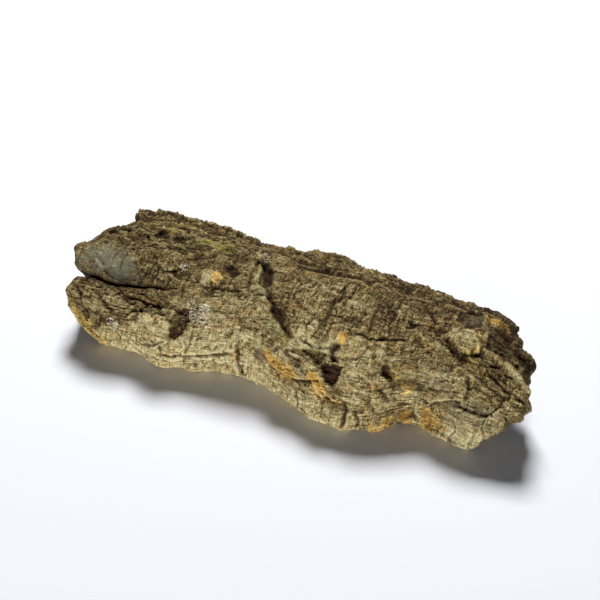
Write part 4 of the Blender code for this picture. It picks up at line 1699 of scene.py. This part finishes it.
        # Painted shade: hollows also darken through the crack mask
        masks["crack"] = np.clip(masks["crack"] + weights.hollow_shade * hollow, 0.0, 1.0)
        loose = self.loose_torn * masks["shaggy"] * proud
        loose = loose + self.loose_lichen * masks["lichen"] + self.loose_fresh * masks["fresh"]
        loose += ramp(skin_arc, -88.0, -104.0) * (0.2 + 0.4 * proud)  # along the near foot
        masks[LOOSE] = loose * (1.0 - masks["bloom"]) * ramp(end_gap, 2.0, 6.0)

        columns = np.rint(keys[:, 0] * nu).astype(int)
        rows = np.rint(keys[:, 1] * nv).astype(int)
        t = keys[:, 2]
        arc = self.arc_of(keys[:, 1])
        x, _ = self.arch.x_at(keys[:, 0], arc, t)
        points = self.arch.bend(x, arc, t, height[columns, rows])
        weathered = ramp(t, 0.75, 1.0)
        out: dict[str, Array] = {}
        for name in MASKS + (LOOSE,):
            rest = weights.plain if name == "tone" else 0.0
            out[name] = rest + (masks[name][columns, rows] - rest) * weathered
        out[GRAIN] = np.stack((x, arc, t * self.arch.thickness), -1)
        return points, out

    def arc_of(self, v: Array) -> Array:
        """Places over the arch, closer together towards the near foot."""
        crowded = v * (1.0 - self.crowding) + self.crowding * v * v
        return self.arch.arc * (2.0 * crowded - 1.0)


@dataclass
class LooseCork:
    """Torn shreds and crumbs of cork that cling to the weathered side."""

    density: float = 26000.0  # to a square metre, where the mask is 1
    length: float = 4.2
    width: float = 1.8
    thickness: float = 0.8
    curl: float = 0.8  # how far a shred's ends lift off
    spin: float = 0.7  # radians either way from the bark's length
    tilt: float = 0.3
    smallest: tuple[float, float, float] = (0.35, 0.45, 0.5)  # beside the sizes above
    largest: tuple[float, float, float] = (1.3, 1.2, 1.2)
    seed: int = 5

    def build(self, bark: bpy.types.Object) -> bpy.types.Object:
        """Scatters the shreds over the bark.

        Args:
            bark: The bark, with its LOOSE attribute.

        Returns:
            The shreds' object, in the bark's material.
        """
        shred = self.shred()
        tree = self.tree()
        modifier = bark.modifiers.new("shreds", "NODES")
        modifier.node_group = tree
        values = {"Shred": shred, "Density": self.density, "Spin": self.spin,
                  "Tilt": self.tilt, "Smallest": self.smallest, "Largest": self.largest,
                  "Seed": self.seed, "Finish": bark.data.materials[0]}
        for item in tree.interface.items_tree:
            if item.name in values:
                modifier[item.identifier] = values[item.name]
        graph = bpy.context.evaluated_depsgraph_get()
        mesh = bpy.data.meshes.new_from_object(bark.evaluated_get(graph), depsgraph=graph)
        bark.modifiers.remove(modifier)
        bpy.data.objects.remove(shred)
        for vertex in mesh.vertices:  # none reaches through the floor
            vertex.co.z = max(vertex.co.z, 0.0)
        loose = bpy.data.objects.new("loose_cork_shreds", mesh)
        bpy.context.scene.collection.objects.link(loose)
        LOG.info("shreds: %d faces", len(mesh.polygons))
        return loose

    def shred(self) -> bpy.types.Object:
        """Models one shred: a thin strip with lifted, pointed ends.

        Returns:
            The shred's object.
        """
        stations = (-1.0, -0.45, 0.2, 1.0)
        shares = (0.25, 1.0, 0.8, 0.3)
        points, faces = [], []
        for place, share in zip(stations, shares):
            rise = self.curl * place * place
            for side, top in ((-1, 0), (1, 0), (1, 1), (-1, 1)):
                points.append((place * self.length / 2.0, side * share * self.width / 2.0,
                               rise + (top - 0.6) * self.thickness * (0.4 + 0.6 * share)))
        for ring in range(len(stations) - 1):
            first = 4 * ring
            for side in range(4):
                over = (side + 1) % 4
                faces.append((first + side, first + 4 + side, first + 4 + over,
                              first + over))
        faces += [(0, 1, 2, 3), (15, 14, 13, 12)]
        mesh = bpy.data.meshes.new("shred")
        mesh.from_pydata([[METRES * value for value in point] for point in points], [],
                         [face[::-1] for face in faces])
        return bpy.data.objects.new("shred", mesh)

    @staticmethod
    def tree() -> bpy.types.NodeTree:
        """Builds the node tree that scatters the shreds.

        Returns:
            The tree.
        """
        tree = bpy.data.node_groups.new("scattered shreds", "GeometryNodeTree")
        for name, kind in (("Geometry", "Geometry"), ("Shred", "Object"),
                           ("Density", "Float"), ("Spin", "Float"), ("Tilt", "Float"),
                           ("Smallest", "Vector"), ("Largest", "Vector"),
                           ("Seed", "Int"), ("Finish", "Material")):
            tree.interface.new_socket(name, in_out="INPUT", socket_type=f"NodeSocket{kind}")
        tree.interface.new_socket("Geometry", in_out="OUTPUT",
                                  socket_type="NodeSocketGeometry")
        given = add(tree, "NodeGroupInput").outputs
        mask = add(tree, "GeometryNodeInputNamedAttribute", {"Name": LOOSE},
                   data_type="FLOAT").outputs[0]
        spots = add(tree, "GeometryNodeDistributePointsOnFaces",
                    {"Mesh": given["Geometry"], "Seed": given["Seed"],
                     "Density": calc(tree, "MULTIPLY", mask, given["Density"])})
        lain = add(tree, "FunctionNodeAlignRotationToVector",
                   {"Rotation": spots.outputs["Rotation"], "Vector": (1.0, 0.0, 0.0)},
                   axis="X", pivot_axis="Z").outputs["Rotation"]
        turns = []
        for number, reach in enumerate((given["Tilt"], given["Spin"])):
            low = calc(tree, "MULTIPLY", reach, -1.0)
            turns.append(add(tree, "FunctionNodeRandomValue",
                             {2: low, 3: reach, "ID": add(tree, "GeometryNodeInputIndex")
                              .outputs[0], "Seed": number + 1},
                             data_type="FLOAT").outputs[1])
        turn = add(tree, "ShaderNodeCombineXYZ", {"Y": turns[0], "Z": turns[1]})
        turned = add(tree, "FunctionNodeRotateRotation",
                     {"Rotation": lain, "Rotate By": turn.outputs[0]},
                     rotation_space="LOCAL").outputs["Rotation"]
        size = add(tree, "FunctionNodeRandomValue",
                   {0: given["Smallest"], 1: given["Largest"], "Seed": 3},
                   data_type="FLOAT_VECTOR").outputs[0]
        shape = add(tree, "GeometryNodeObjectInfo", {"Object": given["Shred"]})
        shreds = add(tree, "GeometryNodeInstanceOnPoints",
                     {"Points": spots.outputs["Points"], "Rotation": turned, "Scale": size,
                      "Instance": shape.outputs["Geometry"]})
        solid = add(tree, "GeometryNodeRealizeInstances",
                    {"Geometry": shreds.outputs["Instances"]})
        dressed = add(tree, "GeometryNodeSetMaterial",
                      {"Geometry": solid.outputs["Geometry"],
                       "Material": given["Finish"]})
        add(tree, "NodeGroupOutput", {"Geometry": dressed.outputs["Geometry"]})
        return tree


@dataclass(frozen=True)
class Lamp:
    """A soft rectangular lamp that faces the middle of the floor."""

    name: str
    place: tuple[float, float, float]
    width: float
    height: float
    power: float  # watts


@dataclass
class Studio:
    """A white floor, soft light from above and behind, and the camera."""

    floor_colour: str = "eeeff4"
    floor_size: float = 3.0
    floor_roughness: float = 0.9
    lamps: tuple[Lamp, ...] = (Lamp("behind_above", (-0.95, 2.4, 2.95), 1.1, 1.1, 224.0),
                               Lamp("low_fill", (0.4, -1.75, 0.09), 1.5, 0.15, 35.0))
    azimuth: float = 23.5  # degrees round from the near side
    elevation: float = 42.0
    distance: float = 1.068
    lens: float = 75.0
    film: float = 36.0  # millimetres wide
    aim_offset: tuple[float, float, float] = (-0.0038, 0.0044, 0.013)
    room_light: float = 0.04  # what the white room sends back
    room_shade: str = "cfdcf5"

    def build(self) -> None:
        """Builds the floor, the lights and the camera."""
        self.lay_floor()
        self.hang_lights()
        self.stand_camera()

    def lay_floor(self) -> None:
        """Lays the floor that the bark rests on."""
        half = self.floor_size / 2.0
        mesh = bpy.data.meshes.new("floor")
        corners = [(-half, -half, 0.0), (half, -half, 0.0), (half, half, 0.0),
                   (-half, half, 0.0)]
        mesh.from_pydata(corners, [], [(0, 1, 2, 3)])
        material = bpy.data.materials.new("matt white paper")
        material.use_nodes = True
        shader = material.node_tree.nodes["Principled BSDF"]
        shader.inputs["Base Color"].default_value = linear(self.floor_colour)
        shader.inputs["Roughness"].default_value = self.floor_roughness
        shader.inputs["Specular IOR Level"].default_value = 0.0
        mesh.materials.append(material)
        floor = bpy.data.objects.new("studio_floor", mesh)
        bpy.context.scene.collection.objects.link(floor)

    def hang_lights(self) -> None:
        """Hangs the soft lights and lights the room."""
        for lamp in self.lamps:
            light = bpy.data.lights.new(lamp.name, "AREA")
            light.shape = "RECTANGLE"
            light.size, light.size_y = lamp.width, lamp.height
            light.energy = lamp.power
            stand = bpy.data.objects.new(lamp.name, light)
            stand.location = lamp.place
            stand.rotation_euler = Vector(lamp.place).to_track_quat("Z", "Y").to_euler()
            stand.visible_camera = False
            bpy.context.scene.collection.objects.link(stand)
        world = bpy.data.worlds.new("studio")
        world.use_nodes = True
        tree = world.node_tree
        seen = add(tree, "ShaderNodeLightPath").outputs["Is Camera Ray"]
        strength = calc(tree, "MULTIPLY_ADD", seen, 1.0 - self.room_light, self.room_light)
        tree.links.new(strength, tree.nodes["Background"].inputs["Strength"])
        shade = mix(tree, seen, linear(self.room_shade), (1.0, 1.0, 1.0, 1.0))
        tree.links.new(shade, tree.nodes["Background"].inputs["Color"])
        bpy.context.scene.world = world
        bpy.context.scene.view_settings.view_transform = "Standard"

    def stand_camera(self) -> None:
        """Stands the camera at the viewing angle."""
        low, high = CAD_BOX
        middle = (Vector(low) + Vector(high)) / 2.0
        aim = middle + Vector(self.aim_offset)
        turn, tilt = math.radians(self.azimuth), math.radians(self.elevation)
        back = Vector((math.sin(turn) * math.cos(tilt), -math.cos(turn) * math.cos(tilt),
                       math.sin(tilt)))
        lens = bpy.data.cameras.new("camera")
        lens.lens = self.lens
        lens.sensor_width = self.film
        camera = bpy.data.objects.new("camera", lens)
        camera.location = aim + back * self.distance
        camera.rotation_euler = back.to_track_quat("Z", "Y").to_euler()
        bpy.context.scene.collection.objects.link(camera)
        bpy.context.scene.camera = camera


def main() -> None:
    """Builds the bark and its studio, and reports each piece."""
    logging.basicConfig(level=logging.INFO, format="%(name)s: %(message)s")
    bark = BarkSlab().build()
    for piece in (bark, LooseCork().build(bark)):
        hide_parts(NODE)
        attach(piece, BODY)
    Studio().build()


if __name__ == "__main__":
    main()
